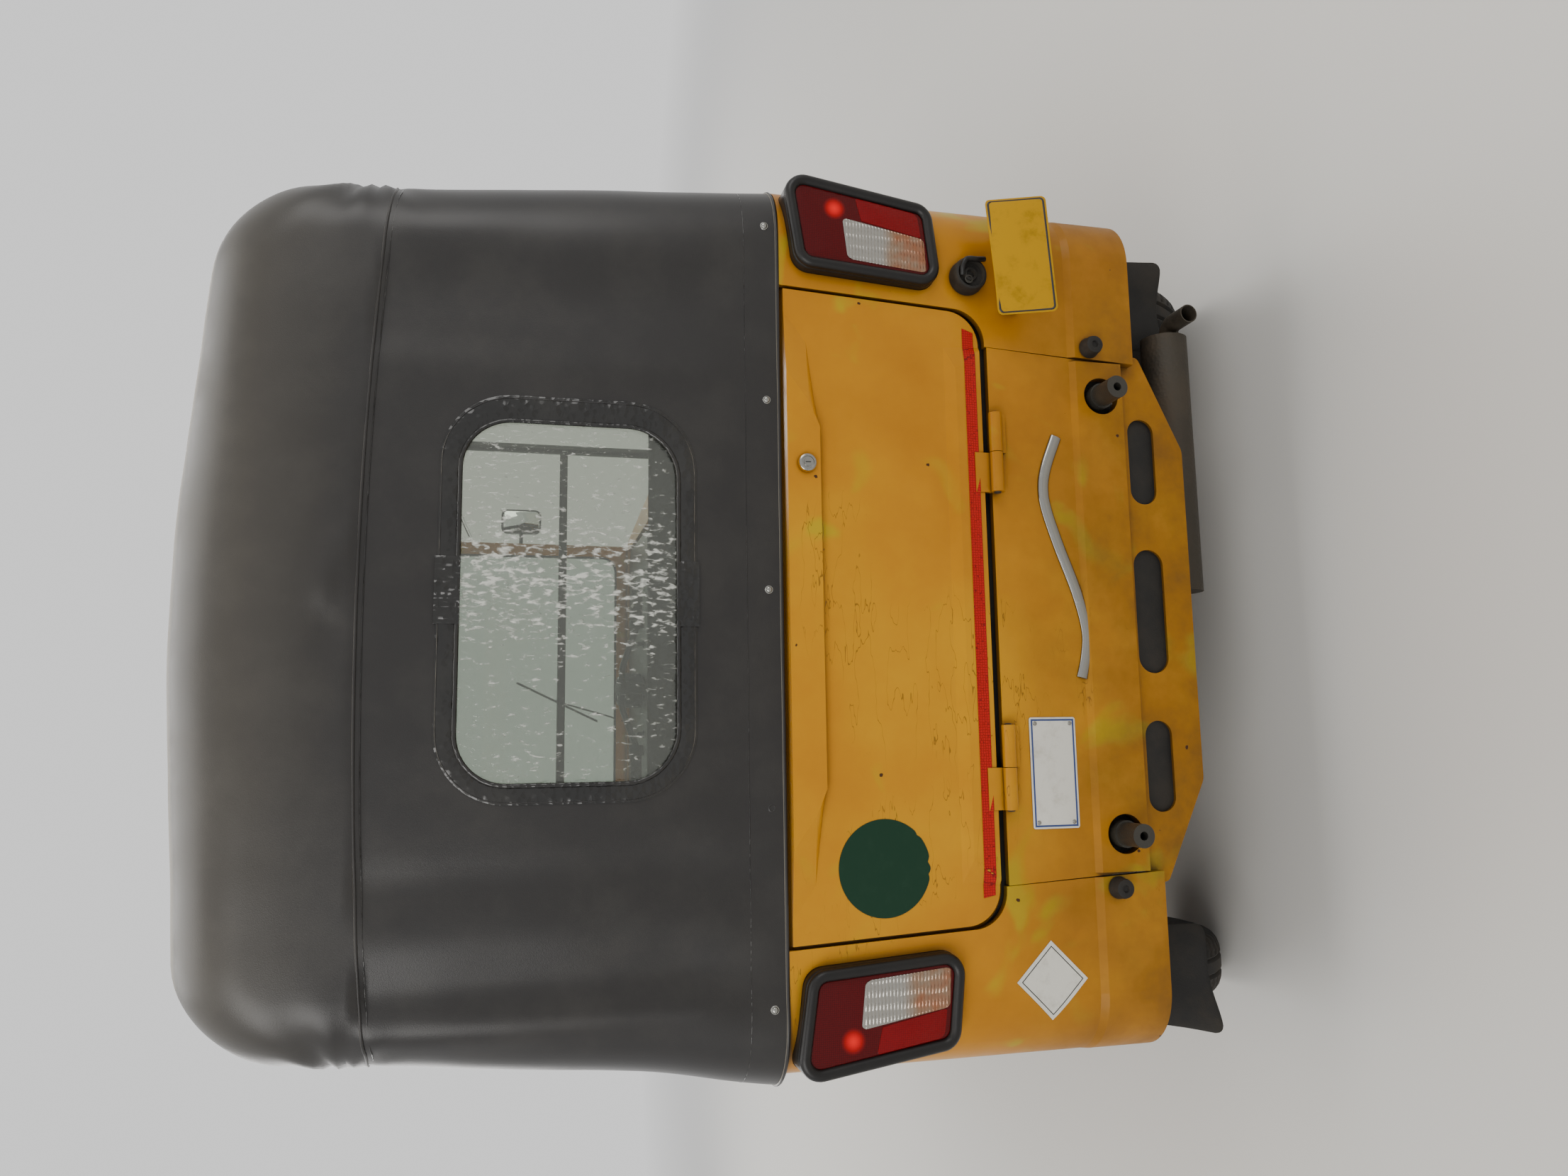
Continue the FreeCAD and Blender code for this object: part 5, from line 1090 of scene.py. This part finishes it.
# %% Number plate, bent and blank
CENTRE_X, CENTRE_Z = -0.583, 0.600
NUMBER_BOX = (CENTRE_X - 0.100, CENTRE_Z - 0.050, CENTRE_X + 0.100, CENTRE_Z + 0.050)
TILT = math.radians(-4.6)


def bumped(x, y, z):
    """Turns and bends points of the flat number plate."""
    across, upward = x - CENTRE_X, z - CENTRE_Z
    x = CENTRE_X + across * math.cos(TILT) - upward * math.sin(TILT)
    z = CENTRE_Z + across * math.sin(TILT) + upward * math.cos(TILT)
    bend = 0.0030 * np.clip(across / 0.1, 0, 1) ** 2
    dip = 0.0012 * np.sin(across / 0.1 * 2.1 + 0.6) * (upward / 0.05)
    kick = 0.013 * np.clip(0.4 - upward / 0.05, 0, 1.4) ** 1.3
    return x, y - bend + dip + kick, z


plate("number_plate", "chassis", yellow_paint, rectangle(*NUMBER_BOX, 0.009, 5), 1.4862, 0.0011,
      0.0004, cuts=[CENTRE_X + step * 0.0125 for step in range(-7, 8)], shape=bumped, angle=30)
x, z = np.array(rectangle(*NUMBER_BOX, 0.006, 5, inside=0.0045)).T
bead("number_plate_border", "chassis", black_ink,
     np.stack(bumped(x, np.full_like(x, 1.4870), z), 1), 0.0022, closed=True)
BOLT = [(0.0060, 0.0), (0.0062, 0.0006), (0.0050, 0.0007), (0.0050, 0.0016), (0.0042, 0.0018),
        (0.0004, 0.0019)]
for index, across in enumerate((-0.050, 0.050)):
    turned("number_plate_bolt_%d" % index, "chassis", chrome,
           bumped(CENTRE_X + across, 1.4873, CENTRE_Z), "Y", BOLT, 6)
print("number plate tilt", round(math.degrees(TILT), 1), "degrees")

# %% [markdown]
# ### Chrome strip, lock, filler boot and buffers
#
# The strip is a thin half-round moulding that was once straight and is now bent. The
# lock and the filler boot are turned pieces, and the lever on the boot is bent bar.

# %% Chrome strip
def smooth_line(spots, steps=10):
    """A rounded line through spots of any dimension."""
    spots = [np.array(spot, float) for spot in spots]
    held = [2 * spots[0] - spots[1]] + spots + [2 * spots[-1] - spots[-2]]
    return [0.5 * (2 * b + (c - a) * t + (2 * a - 5 * b + 4 * c - d) * t ** 2
                   + (3 * b - a - 3 * c + d) * t ** 3)
            for a, b, c, d in zip(held, held[1:], held[2:], held[3:])
            for t in np.arange(steps) / steps] + [spots[-1]]


knots = [(0.115, 0.494), (0.077, 0.484), (0.036, 0.481), (-0.025, 0.495), (-0.107, 0.525),
         (-0.168, 0.544), (-0.204, 0.548), (-0.240, 0.541), (-0.293, 0.520)]
strip = bead("chrome_strip", "chassis", chrome,
             [(x, REAR + 0.0004, z) for x, z in smooth_line(knots)], 0.0100, sides=5)
reshape(strip, lambda x, y, z: (x, REAR + 0.0003 + np.clip(y - REAR, 0, 1) * 0.45, z))
print("strip knots", len(knots))


# %% Lock on the lid
def slab(name, body, finish, low, high, bevel, segments=2, lean=(0, 0, 0)):
    """A block between two corners with rounded edges."""
    clear_selection()
    bpy.ops.mesh.primitive_cube_add(size=1)
    piece = bpy.context.object
    piece.scale = Vector(high) - Vector(low)
    bpy.ops.object.transform_apply(scale=True)
    modify(piece, "BEVEL", width=bevel, segments=segments)
    piece.rotation_euler, piece.location = lean, (Vector(low) + Vector(high)) / 2
    return settle(name, body, finish, angle=35)


turned("lid_lock", "rear_lid", chrome, (-0.223, 1.4513, 0.963), "Y",
       [(0.0135, 0.0), (0.0138, 0.0010), (0.0120, 0.0022), (0.0100, 0.0022), (0.0096, 0.0012),
        (0.0070, 0.0013), (0.0068, 0.0030), (0.0004, 0.0031)], 40)
slab("lid_lock_slot", "rear_lid", black_plastic, (-0.2238, 1.4538, 0.9585),
     (-0.2222, 1.4546, 0.9675), 0.0003)

# %% Filler boot with its lever, and rubber buffers either side of the stays
boot = Vector((-0.562, REAR + 0.0003, 0.673))
turned("filler_boot", "chassis", sheet_rubber, boot, "Y",
       [(0.0300, 0.0), (0.0305, 0.004), (0.0285, 0.012), (0.0295, 0.020), (0.0270, 0.0255),
        (0.0235, 0.0262), (0.0215, 0.0190), (0.0130, 0.0185), (0.0115, 0.0225),
        (0.0075, 0.0232), (0.0060, 0.0170), (0.0004, 0.0168)], 44)
turned("filler_boot_ring", "chassis", tube_steel, boot + Vector((0.010, 0.0200, 0.004)), "Y",
       [(0.0072, 0.0), (0.0074, 0.0030), (0.0052, 0.0032), (0.0048, 0.0010), (0.0004, 0.0009)],
       24)
bead("filler_lever", "chassis", black_plastic, [boot + Vector(spot) for spot in smooth_line([
    (0.004, 0.0240, 0.016), (-0.010, 0.0300, 0.017), (-0.021, 0.0315, 0.010),
    (-0.023, 0.0300, -0.010), (-0.026, 0.0260, -0.024)], 6)], 0.0046, sides=3)
for side, sign in SIDES.items():
    turned("rear_buffer_" + side, "chassis", sheet_rubber, (sign * 0.453, REAR + 0.0062, 0.452),
           "Y", [(0.0175, 0.0), (0.0180, 0.003), (0.0165, 0.007), (0.0160, 0.018),
                 (0.0145, 0.023), (0.0100, 0.0245), (0.0060, 0.0242), (0.0045, 0.0210),
                 (0.0004, 0.0208)], 32)
    turned("stay_boot_" + side, "chassis", sheet_rubber, (sign * 0.369, 1.404, 0.433), "Y",
           [(0.036, 0.0), (0.036, 0.006), (0.026, 0.008), (0.0197, 0.013), (0.0193, 0.0125),
            (0.0193, 0.0)], 36)
print("boot at", [round(v, 3) for v in boot])

# %% [markdown]
# ### Lid flange and hinge pins
#
# A painted flange lies behind the gap round the lid, so that no light shows through it.
# A rubber sheet closes the bumper's slots from inside, as painted shade where the photo shows only
# dark.
# Each hinge gets the two domed pin heads that a rolled hinge ends in.

# %% Lid flange and hinge pins
# a dark sheet behind the hinges that stands in for the shade there, so no light shows through
slab("hinge_gap_shade_sheet", "chassis", sheet_rubber, (-0.500, 1.4035, 0.612), (0.500, 1.4100, 0.668),
     0.001)
# a dark sheet that stands in for the shade seen through the bumper's slots
slab("bumper_slot_shade_sheet", "chassis", sheet_rubber, (-0.345, 1.4085, 0.302),
     (0.345, 1.41155, 0.384), 0.0006)
gap_line = dense(rounded([(-0.5205, 0.9905, 0.004), (-0.5020, 0.6530, 0.0600),
                          (0.5020, 0.6530, 0.0600), (0.5205, 0.9905, 0.004)], 12), 0.03)
bead("lid_flange", "chassis", ochre, [(x, 1.4085, z) for x, z in gap_line], 0.0088,
     closed=True, sides=3)
PIN = [(0.0062, 0.0), (0.0062, 0.0012), (0.0045, 0.0026), (0.0004, 0.0030)]
for side, sign in SIDES.items():
    # the pin ends in the lid's knuckle on one side and in the panel's on the other
    for way, body in ((-1, "chassis"), (1, "rear_lid")):
        turned("hinge_pin_%s_%s" % (side, "outer" if way * sign > 0 else "inner"), body,
               tube_steel, (sign * 0.258 + way * 0.067, 1.442, 0.636), OUTWARD[way], PIN, 16)
print("flange points", len(gap_line))

# %% [markdown]
# ## Mud flaps
#
# The flaps are loose rubber sheets. Each hangs from the inner edge of the rear quarter,
# and the left one has taken a set, with its outer corner kicked back and out.

# %% Mud flaps
def flap_form(u, v, w, sign, inner_x, wide, kick):
    """Hangs a square as a flap whose lower edge is kicked back."""
    u, v = soften(u, v, top=False)
    s, drop = (u + 1) / 2, (1 - v) / 2
    x = inner_x + wide * s + kick * 0.45 * drop ** 2 * s
    y = 1.2475 + kick * drop ** 1.6 * (0.35 + 0.65 * s) + 0.003 * np.sin(9 * s) * drop
    return sign * x, y, 0.400 - 0.212 * drop + 0.006 * drop * np.sin(4 * s)


for side, inner_x, kick in (("left", 0.545, 0.055), ("right", 0.530, 0.012)):
    wide = 0.706 - inner_x
    clear_selection()
    bpy.ops.mesh.primitive_grid_add(x_subdivisions=24, y_subdivisions=28, size=2)
    flap = bpy.context.object
    reshape(flap, partial(flap_form, sign=SIDES[side], inner_x=inner_x, wide=wide, kick=kick))
    face_rear(flap)
    modify(flap, "SOLIDIFY", thickness=0.0055, offset=0.0)
    modify(flap, "BEVEL", width=0.0012, segments=2, limit_method="ANGLE")
    flap = settle("mud_flap_rubber_" + side, "chassis", sheet_rubber, angle=50)
    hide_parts("mud_flap_" + side)
print("mud flaps", [round(v, 3) for v in flap.dimensions])

# %% [markdown]
# ## Tyres
#
# Each tyre starts as a torus whose small circle is then moved onto the section of a
# 4.50-10 tyre. The tread is cut into the same mesh: two ring grooves and a row of
# slanted shoulder grooves, five millimetres deep, so that it shows at the edge.

# %% The tyre's section and tread
SECTION = np.array([
    # share of the ring, across, radius, all in millimetres
    (0.000, 0.0, 255.0), (0.070, 15.0, 254.8), (0.130, 29.0, 253.4), (0.185, 41.0, 249.0),
    (0.225, 49.5, 242.5), (0.250, 53.0, 236.0), (0.290, 56.6, 222.0), (0.330, 58.3, 206.0),
    (0.370, 58.4, 191.0), (0.410, 56.6, 174.0), (0.440, 52.0, 160.0), (0.462, 46.5, 149.0),
    (0.480, 43.0, 144.0), (0.500, 43.0, 128.0), (0.515, 37.0, 127.4), (0.535, 31.0, 131.0),
    (0.580, 31.0, 146.0), (0.640, 40.0, 166.0), (0.700, 46.0, 191.0), (0.800, 44.0, 220.0),
    (0.900, 28.0, 234.0), (1.000, 0.0, 237.0)])
RING_RADIUS, BLOCKS, TREAD = 0.190, 64, 5.0


def tyre_form(x, y, z):
    """Moves the points of a torus to the section, and cuts the tread."""
    spin, round_way = np.arctan2(z, y), np.arctan2(np.abs(x), np.hypot(y, z) - RING_RADIUS)
    half = np.clip(round_way / math.pi, 0, 1)
    across, radius = [np.interp(half, SECTION[:, 0], SECTION[:, i]) for i in (1, 2)]
    block = (spin / math.tau * BLOCKS + across * 0.018) % 1
    shoulder = (block < 0.25) & (across > 21) & (across < 54)
    rings = np.abs(across - 13) < 2.4
    radius = radius - TREAD * ((half < 0.27) & (rings | shoulder))
    fine = np.where((half > 0.29) & (half < 0.43), 0.5 * np.sin(half * 260), 0)
    side = np.where(x < 0, -1, 1)
    return (side * (across + fine) / 1000, radius * np.cos(spin) / 1000,
            radius * np.sin(spin) / 1000)


WHEELS = (  # name, body, centre, way its nuts face
    ("front", "front_wheel", (0.0, -1.06, 0.255), -1),
    ("rear_left", "rear_wheel_left", (0.645, 0.96, 0.255), 1),
    ("rear_right", "rear_wheel_right", (-0.645, 0.96, 0.255), -1))
for name, body, centre, way in WHEELS:
    clear_selection()
    bpy.ops.mesh.primitive_torus_add(major_segments=256, minor_segments=88, minor_radius=0.060,
                                     major_radius=RING_RADIUS, rotation=(0, math.pi / 2, 0))
    bpy.ops.object.transform_apply(rotation=True)
    tyre = bpy.context.object
    reshape(tyre, tyre_form)
    turn_outward()
    tyre.location = centre
    tyre = settle("treaded_tyre_" + name, body, tyre_rubber, angle=32)
    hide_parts("tyre_" + name)
print("tyre", [round(v, 4) for v in tyre.dimensions], len(tyre.data.polygons), "faces")

# %% Wheel nuts, dust caps and valves
NUT = [(0.0102, 0.0), (0.0104, 0.0015), (0.0104, 0.0075), (0.0086, 0.0092), (0.0062, 0.0092),
       (0.0060, 0.0130), (0.0048, 0.0140), (0.0004, 0.0141)]
CAP = [(0.0190, 0.0), (0.0190, 0.006), (0.0178, 0.010), (0.0130, 0.0135), (0.0060, 0.0150),
       (0.0004, 0.0153)]
VALVE = [(0.0045, 0.0), (0.0045, 0.010), (0.0036, 0.011), (0.0036, 0.022), (0.0028, 0.024),
         (0.0004, 0.0242)]


def on_wheel(centre, out, radius=0.0, degrees=0):
    """A place out from a wheel's middle and round it."""
    angle = math.radians(degrees)
    return Vector(centre) + Vector((out, radius * math.cos(angle), radius * math.sin(angle)))


for name, body, centre, way in WHEELS:
    turned("dust_cap_" + name, body, rim_enamel, on_wheel(centre, way * 0.020), OUTWARD[way],
           CAP, 32)
    for step in range(4):
        turned("wheel_nut_%s_%d" % (name, step), body, tube_steel,
               on_wheel(centre, way * 0.020, 0.030, 45 + 90 * step), OUTWARD[way], NUT, 6)
    turned("valve_" + name, body, sheet_rubber, on_wheel(centre, way * 0.012, 0.100, 112),
           OUTWARD[way], VALVE, 14)
print("wheels", len(WHEELS))

# %% [markdown]
# ## Seats
#
# The three cushions are foam under sewn leatherette. Each begins as a rounded block a
# little smaller than the real one, is remeshed to an even skin, and is then blown up
# by a short cloth simulation until the skin is taut, which crowns the middle and
# leaves the corners soft. The sewn channels are pressed in afterwards, and the piping
# follows the finished skin.

# %% Cushions
DRAWN_IN, BLOWN_FRAMES = 0.010, 20


def cushion(name, node, low, high, lead, voxel, swell, channels):
    """A blown-up cushion. Its lead looks to the sitter; channels are places across x."""
    clear_selection()
    low, high = np.array(low), np.array(high)
    size = high - low - 2 * DRAWN_IN
    bpy.ops.mesh.primitive_cube_add(size=1, location=tuple((low + high) / 2))
    piece = bpy.context.object
    piece.scale = size
    bpy.ops.object.transform_apply(location=True, scale=True)
    modify(piece, "BEVEL", width=min(size) * 0.30, segments=5)
    modify(piece, "REMESH", mode="VOXEL", voxel_size=voxel)
    start = get_places(piece)
    # the skin is held where the cushion lies on its board
    board = min(low @ lead, high @ lead)
    near = np.where(np.abs(start @ lead - board) < DRAWN_IN + voxel * 1.5)[0]
    piece.vertex_groups.new(name="held").add(near.tolist(), 1.0, "REPLACE")
    cloth = piece.modifiers.new("Cloth", "CLOTH")
    cloth.settings.quality = 4
    cloth.settings.use_pressure = True
    cloth.settings.uniform_pressure_force = 4.0
    cloth.settings.vertex_group_mass = "held"
    cloth.settings.effector_weights.gravity = 0.0
    cloth.point_cache.frame_start, cloth.point_cache.frame_end = 1, BLOWN_FRAMES
    for step in range(1, BLOWN_FRAMES + 1):
        bpy.context.scene.frame_set(step)
    bpy.context.view_layer.objects.active = piece
    bpy.ops.object.modifier_apply(modifier="Cloth")
    bpy.context.scene.frame_set(1)
    travel = get_places(piece) - start
    length = np.maximum(np.linalg.norm(travel, axis=1), 1e-9)
    set_places(piece, np.clip(start + travel * np.minimum(1, swell / length)[:, None], low, high))
    modify(piece, "SUBSURF", levels=1, render_levels=1)
    # sewn channels, pressed in where the skin faces the sitter
    across, facing = get_places(piece)[:, 0], smooth(get_places(piece, "normal") @ lead, 0.35, 0.85)
    push_along_normals(piece, -0.0075 * facing * sum(hump(across, x, 0.0085) for x in channels))
    print(name, len(piece.data.polygons), "faces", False)
    piece = settle(name, "chassis", seat_vinyl, angle=60)
    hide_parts(node)
    return piece


def piping(name, piece, outline, way):
    """A corded seam that is dropped onto the finished skin of a cushion."""
    line = []
    for spot in dense(outline, 0.012, least=2):
        found, place, normal, face = piece.ray_cast(spot, way)
        line.append(place + normal * 0.0012 if found else spot)
    bead(name, "chassis", trim_vinyl, [(line[i - 1] + line[i] * 2 + line[(i + 1) % len(line)]) / 4
                                       for i in range(len(line))], 0.0042, closed=True)


UP, AHEAD = (0, 0, 1), (0, -1, 0)
five, nine = 0.10 * np.arange(-2, 3), 0.11 * np.arange(-4, 5)
for name, node, low, high, lead, voxel, swell, channels, fill, seam in (
        ("driver_seat", "driver_seat", (-0.300, -0.420, 0.5903), (0.300, -0.070, 0.720), UP,
         0.008, 0.014, five, 0.7, (-0.268, -0.388, 0.268, -0.102)),
        ("passenger_bench", "passenger_cushion", (-0.550, 0.332, 0.5603), (0.550, 0.8477, 0.700),
         UP, 0.011, 0.018, nine, 0.65, (-0.515, 0.366, 0.515, 0.735)),
        ("passenger_back", "passenger_backrest", (-0.550, 0.7477, 0.7003), (0.550, 0.8477, 1.150),
         AHEAD, 0.011, 0.016, nine, 0.6, (-0.515, 0.740, 0.515, 1.112))):
    blown = cushion(name + "_cushion", node, low, high, lead, voxel, swell, channels)
    outline = [(a, b, 0.80) if lead is UP else (a, 0.60, b)
               for a, b in rectangle(*seam, 0.05, 6)]
    piping(name + "_piping", blown, outline, -Vector(lead))

# %% [markdown]
# ## The front
#
# The photograph doesn't show the front, so its fittings are those of the type: one
# headlamp in a bright ring, two indicators, a wiper, a rubber round the glass, mirrors,
# grips with two levers, a dial, and a mat. Small pieces are set down by a ray onto the
# panel that carries them, so that they touch it.

# %% Places on the panels
FROM_FRONT, FROM_ABOVE = Vector((0, 1, 0)), Vector((0, 0, -1))


def place_on(node, start, way):
    """Where a ray meets a CAD part, and the way that face looks."""
    found, place, normal, face = nodes[node].ray_cast(Vector(start), way)
    if not found:
        raise RuntimeError("the ray misses " + node)
    return place, normal if normal.dot(way) < 0 else -normal


# %% Headlamp ring and indicators
for name, finish, y, radius, thick, sides in (
        ("ring", chrome, -1.4800, 0.0870, 0.0055, 14),
        ("gasket", sheet_rubber, -1.4705, 0.0925, 0.0035, 12)):
    clear_selection()
    bpy.ops.mesh.primitive_torus_add(major_segments=72, minor_segments=sides, minor_radius=thick,
                                     major_radius=radius, rotation=(math.pi / 2, 0, 0),
                                     location=(0, y, 0.770))
    settle("headlamp_" + name, "chassis", finish, angle=60)
BASE = [(0.040, -0.004), (0.040, 0.006), (0.037, 0.010), (0.0004, 0.0101)]
DOME = [(0.033, 0.0095), (0.033, 0.016), (0.030, 0.023), (0.022, 0.028), (0.011, 0.0305),
        (0.0004, 0.031)]
REFLECTOR = [(0.020, -0.003), (0.020, 0.004), (0.017, 0.0055), (0.0004, 0.0056)]
for side, sign in SIDES.items():
    for name, finish, across, steps, sides in (
            ("indicator_base_", black_plastic, 0.36, BASE, 40),
            ("indicator_lens_", lens_amber, 0.36, DOME, 40),
            ("side_reflector_", lens_red, 0.52, REFLECTOR, 32)):
        place, normal = place_on("front_cowl", (sign * across, -2, 0.80), FROM_FRONT)
        turned(name + side, "chassis", finish, place, normal, steps, sides)
print("reflector at", [round(v, 3) for v in place])

# %% Rubber round the screen glass, and the wiper
RAKE = math.radians(15)


def on_screen(x, z, out):
    """A place on the raked glass; out is towards the front."""
    return (x, -1.395 + (z - 0.930) * math.tan(RAKE) - out * math.cos(RAKE),
            z - out * math.sin(RAKE))


screen = dense(rounded([(-0.552, 0.974, 0.060), (0.552, 0.974, 0.060), (0.516, 1.697, 0.060),
                        (-0.516, 1.697, 0.060)], 8), 0.06)
for face, out in (("front", 0.006), ("rear", -0.006)):
    bead("screen_rubber_" + face, "chassis", sheet_rubber,
         [on_screen(x, z, out) for x, z in screen], 0.0065, closed=True, sides=3)
turned("wiper_pivot", "chassis", black_plastic, on_screen(0.10, 0.952, 0.016), "-Y",
       [(0.014, -0.004), (0.014, 0.010), (0.011, 0.016), (0.0004, 0.017)], 28)
bead("wiper_arm", "chassis", black_enamel, [on_screen(*spot) for spot in (
    (0.10, 0.952, 0.030), (0.082, 1.00, 0.034), (0.03, 1.19, 0.030), (0.02, 1.215, 0.020))],
     0.0035)
bead("wiper_blade", "chassis", sheet_rubber, [on_screen(*spot) for spot in (
    (0.10, 1.05, 0.0125), (0.03, 1.20, 0.014), (-0.045, 1.36, 0.0125))], 0.0045)
print("screen rubber", len(screen), "points")

# %% Mirror glasses, grips and levers
for side, sign in SIDES.items():
    glass = [(sign * x, z) for x, z in rectangle(0.6275, 1.2825, 0.7055, 1.4175, 0.018, 6)]
    plate("mirror_glass_" + side, "chassis", mirror_glass, glass, -1.2757, 0.0018, 0.0006)
bar = get_places(nodes["handlebar"])
GRIP = [(0.0166, 0.0), (0.0215, 0.0), (0.0215, 0.004), (0.0182, 0.006)]
for ring in range(14):
    start = 0.008 + ring * 0.0064
    GRIP += [(0.0186, start), (0.0186, start + 0.0040), (0.0174, start + 0.0046),
             (0.0174, start + 0.0058)]
GRIP += [(0.0180, 0.100), (0.0180, 0.1035), (0.0120, 0.1058), (0.0004, 0.1060)]
CLAMP = [(0.0165, 0.0), (0.0245, 0.0), (0.0255, 0.004), (0.0255, 0.020), (0.0240, 0.024),
         (0.0165, 0.024)]
for side, sign in SIDES.items():
    half_bar = bar[bar[:, 0] * sign > 0.31]
    y, z = (half_bar.max(0) + half_bar.min(0))[1:] / 2
    turned("grip_" + side, "steering", grip_rubber, (sign * 0.226, y, z), OUTWARD[sign], GRIP, 36)
    turned("grip_clamp_" + side, "steering", black_plastic, (sign * 0.200, y, z), OUTWARD[sign],
           CLAMP, 36)
    bead("lever_" + side, "steering", tube_steel, [
        (sign * (0.205 + out), y - 0.024 - forward, z - down)
        for out, forward, down in smooth_line([
            (0, 0, 0), (0.020, 0.024, 0.002), (0.060, 0.034, 0.004), (0.105, 0.030, 0.006),
            (0.118, 0.036, 0.008)], 6)], 0.0045, sides=3)
print("grips at", round(y, 3), round(z, 3))

# %% Instrument dial and dash switches
top = place_on("dashboard", (0, -1.05, 1.5), FROM_ABOVE)[0].z
turned("dial_case", "chassis", black_plastic, (0, -1.05, top), "Z",
       [(0.052, -0.003), (0.052, 0.010), (0.049, 0.014), (0.043, 0.014), (0.043, 0.008),
        (0.0004, 0.008)], 48)
turned("dial_face", "chassis", dial_white, (0, -1.05, top + 0.0081), "Z",
       [(0.0425, 0.0), (0.0425, 0.001), (0.0004, 0.0011)], 48)
for step in range(11):
    angle = math.radians(225 - 27 * step)
    spot = Vector((0.035 * math.cos(angle), -1.05 + 0.035 * math.sin(angle), top + 0.0093))
    slab("dial_tick_%d" % step, "chassis", black_ink, spot - Vector((0.0008, 0.0035, 0.0)),
         spot + Vector((0.0008, 0.0035, 0.0004)), 0.0001, 1)
bead("dial_hand", "chassis", lens_red, [(0, -1.05, top + 0.0105),
                                        (-0.022, -1.068, top + 0.0105)], 0.0009)
for index, x in enumerate((-0.16, 0.16, 0.22)):
    place, normal = place_on("dashboard", (x, -0.90, 1.5), FROM_ABOVE)
    turned("dash_switch_%d" % index, "chassis", black_plastic, place, "Z",
           [(0.014, -0.001), (0.014, 0.004), (0.009, 0.006), (0.0075, 0.020), (0.006, 0.022),
            (0.0004, 0.0222)], 24)
print("dial on", round(top, 4))

# %% Floor mat
clear_selection()
place, normal = place_on("floor_pan", (0.30, -0.60, 1.0), FROM_ABOVE)
bpy.ops.mesh.primitive_grid_add(x_subdivisions=120, y_subdivisions=24, size=2)
mat = bpy.context.object
reshape(mat, lambda u, v, w: (u * 0.44, -0.58 + v * 0.115, place.z + 0.0035
                              + 0.0016 * (np.abs(np.sin(u * 60 * math.pi / 2)) > 0.5)))
modify(mat, "SOLIDIFY", thickness=0.003, offset=-1.0)
mat = settle("floor_mat", "chassis", mat_rubber, angle=30)
print("mat on", round(place.z, 4))

# %% Blank front plate and nose moulding
place, normal = place_on("front_cowl", (0, -2, 0.60), FROM_FRONT)
lie = (-math.atan2(normal.z, -normal.y), 0, 0)
middle, half_plate = place + normal * 0.006, Vector((0.10, 0.0008, 0.050))
slab("front_plate", "chassis", yellow_paint, middle - half_plate, middle + half_plate, 0.0007,
     lean=lie)
for index, x in enumerate((-0.06, 0.06)):
    turned("front_plate_bolt_%d" % index, "chassis", chrome, place + Vector((x, 0, 0)), normal,
           [(0.006, 0.0), (0.006, 0.0085), (0.005, 0.0100), (0.0004, 0.0105)], 6)
line = []
for x in np.linspace(-0.60, 0.60, 49):
    place, normal = place_on("front_cowl", (x, -2, 0.885), FROM_FRONT)
    line.append(place + normal * 0.002)
bead("nose_moulding", "chassis", black_plastic, line, 0.008, sides=3)
print("front plate leans", round(math.degrees(lie[0]), 1), "degrees")

# %% [markdown]
# ## The stage
#
# A plain pale floor and soft light from above and both ends. The floor fades to white
# with distance, so that no horizon shows, and it keeps the vehicle's shadow.

# %% Floor, sky and lamps
clear_selection()
bpy.ops.mesh.primitive_plane_add(size=60, location=(0, 0, -0.0005))
floor = bpy.context.object
floor.name = "studio_floor"
add, at = new_finish("pale_studio_floor")
away = (add("VectorMath", [at], operation="LENGTH"), "Value")
far = add("MapRange", [away, 2.5, 9.0])
pale = add("BsdfDiffuse", {"Color": "#dcdad5"})
white = add("Emission", {"Color": "#ffffff", "Strength": 1.0})
floor.data.materials.append(end(add, add("MixShader", [far, pale, white])))

world = bpy.data.worlds.new("studio")
bpy.context.scene.world = world
world.use_nodes = True
world.node_tree.nodes.clear()
add = partial(add_node, world)
rays = add("LightPath")
seen = add("Math", [(rays, "Is Camera Ray"), (rays, "Is Glossy Ray")], operation="MAXIMUM")
seen = add("Math", [seen, (rays, "Is Transmission Ray")], operation="MAXIMUM")
strength = add("Math", [seen, 0.6, 0.4], **TIMES_ADD)
end(add, add("Background", ["#ffffff", strength]), "OutputWorld")


def lamp(name, place, target, size, power):
    data = bpy.data.lights.new(name, "AREA")
    data.shape, data.size, data.energy = "SQUARE", size, power
    data.color = (1.0, 0.985, 0.96)
    shone = bpy.data.objects.new(name, data)
    bpy.context.scene.collection.objects.link(shone)
    shone.location = place
    shone.rotation_euler = (Vector(target) - Vector(place)).to_track_quat("-Z", "Y").to_euler()


lamp("overhead", (0, 0.3, 5.2), (0, 0.3, 0), 4.5, 200)
lamp("behind_left", (2.8, 4.8, 3.2), (0, 1.2, 0.8), 2.6, 130)
lamp("behind_right", (-3.6, 4.0, 2.2), (0, 1.2, 0.8), 2.2, 60)
lamp("ahead_right", (-2.6, -4.6, 3.2), (0, -1.0, 0.8), 3.0, 120)
lamp("ahead_left", (3.6, -3.2, 2.4), (0, -0.6, 0.8), 2.4, 70)
print("lamps", len(bpy.data.lights))
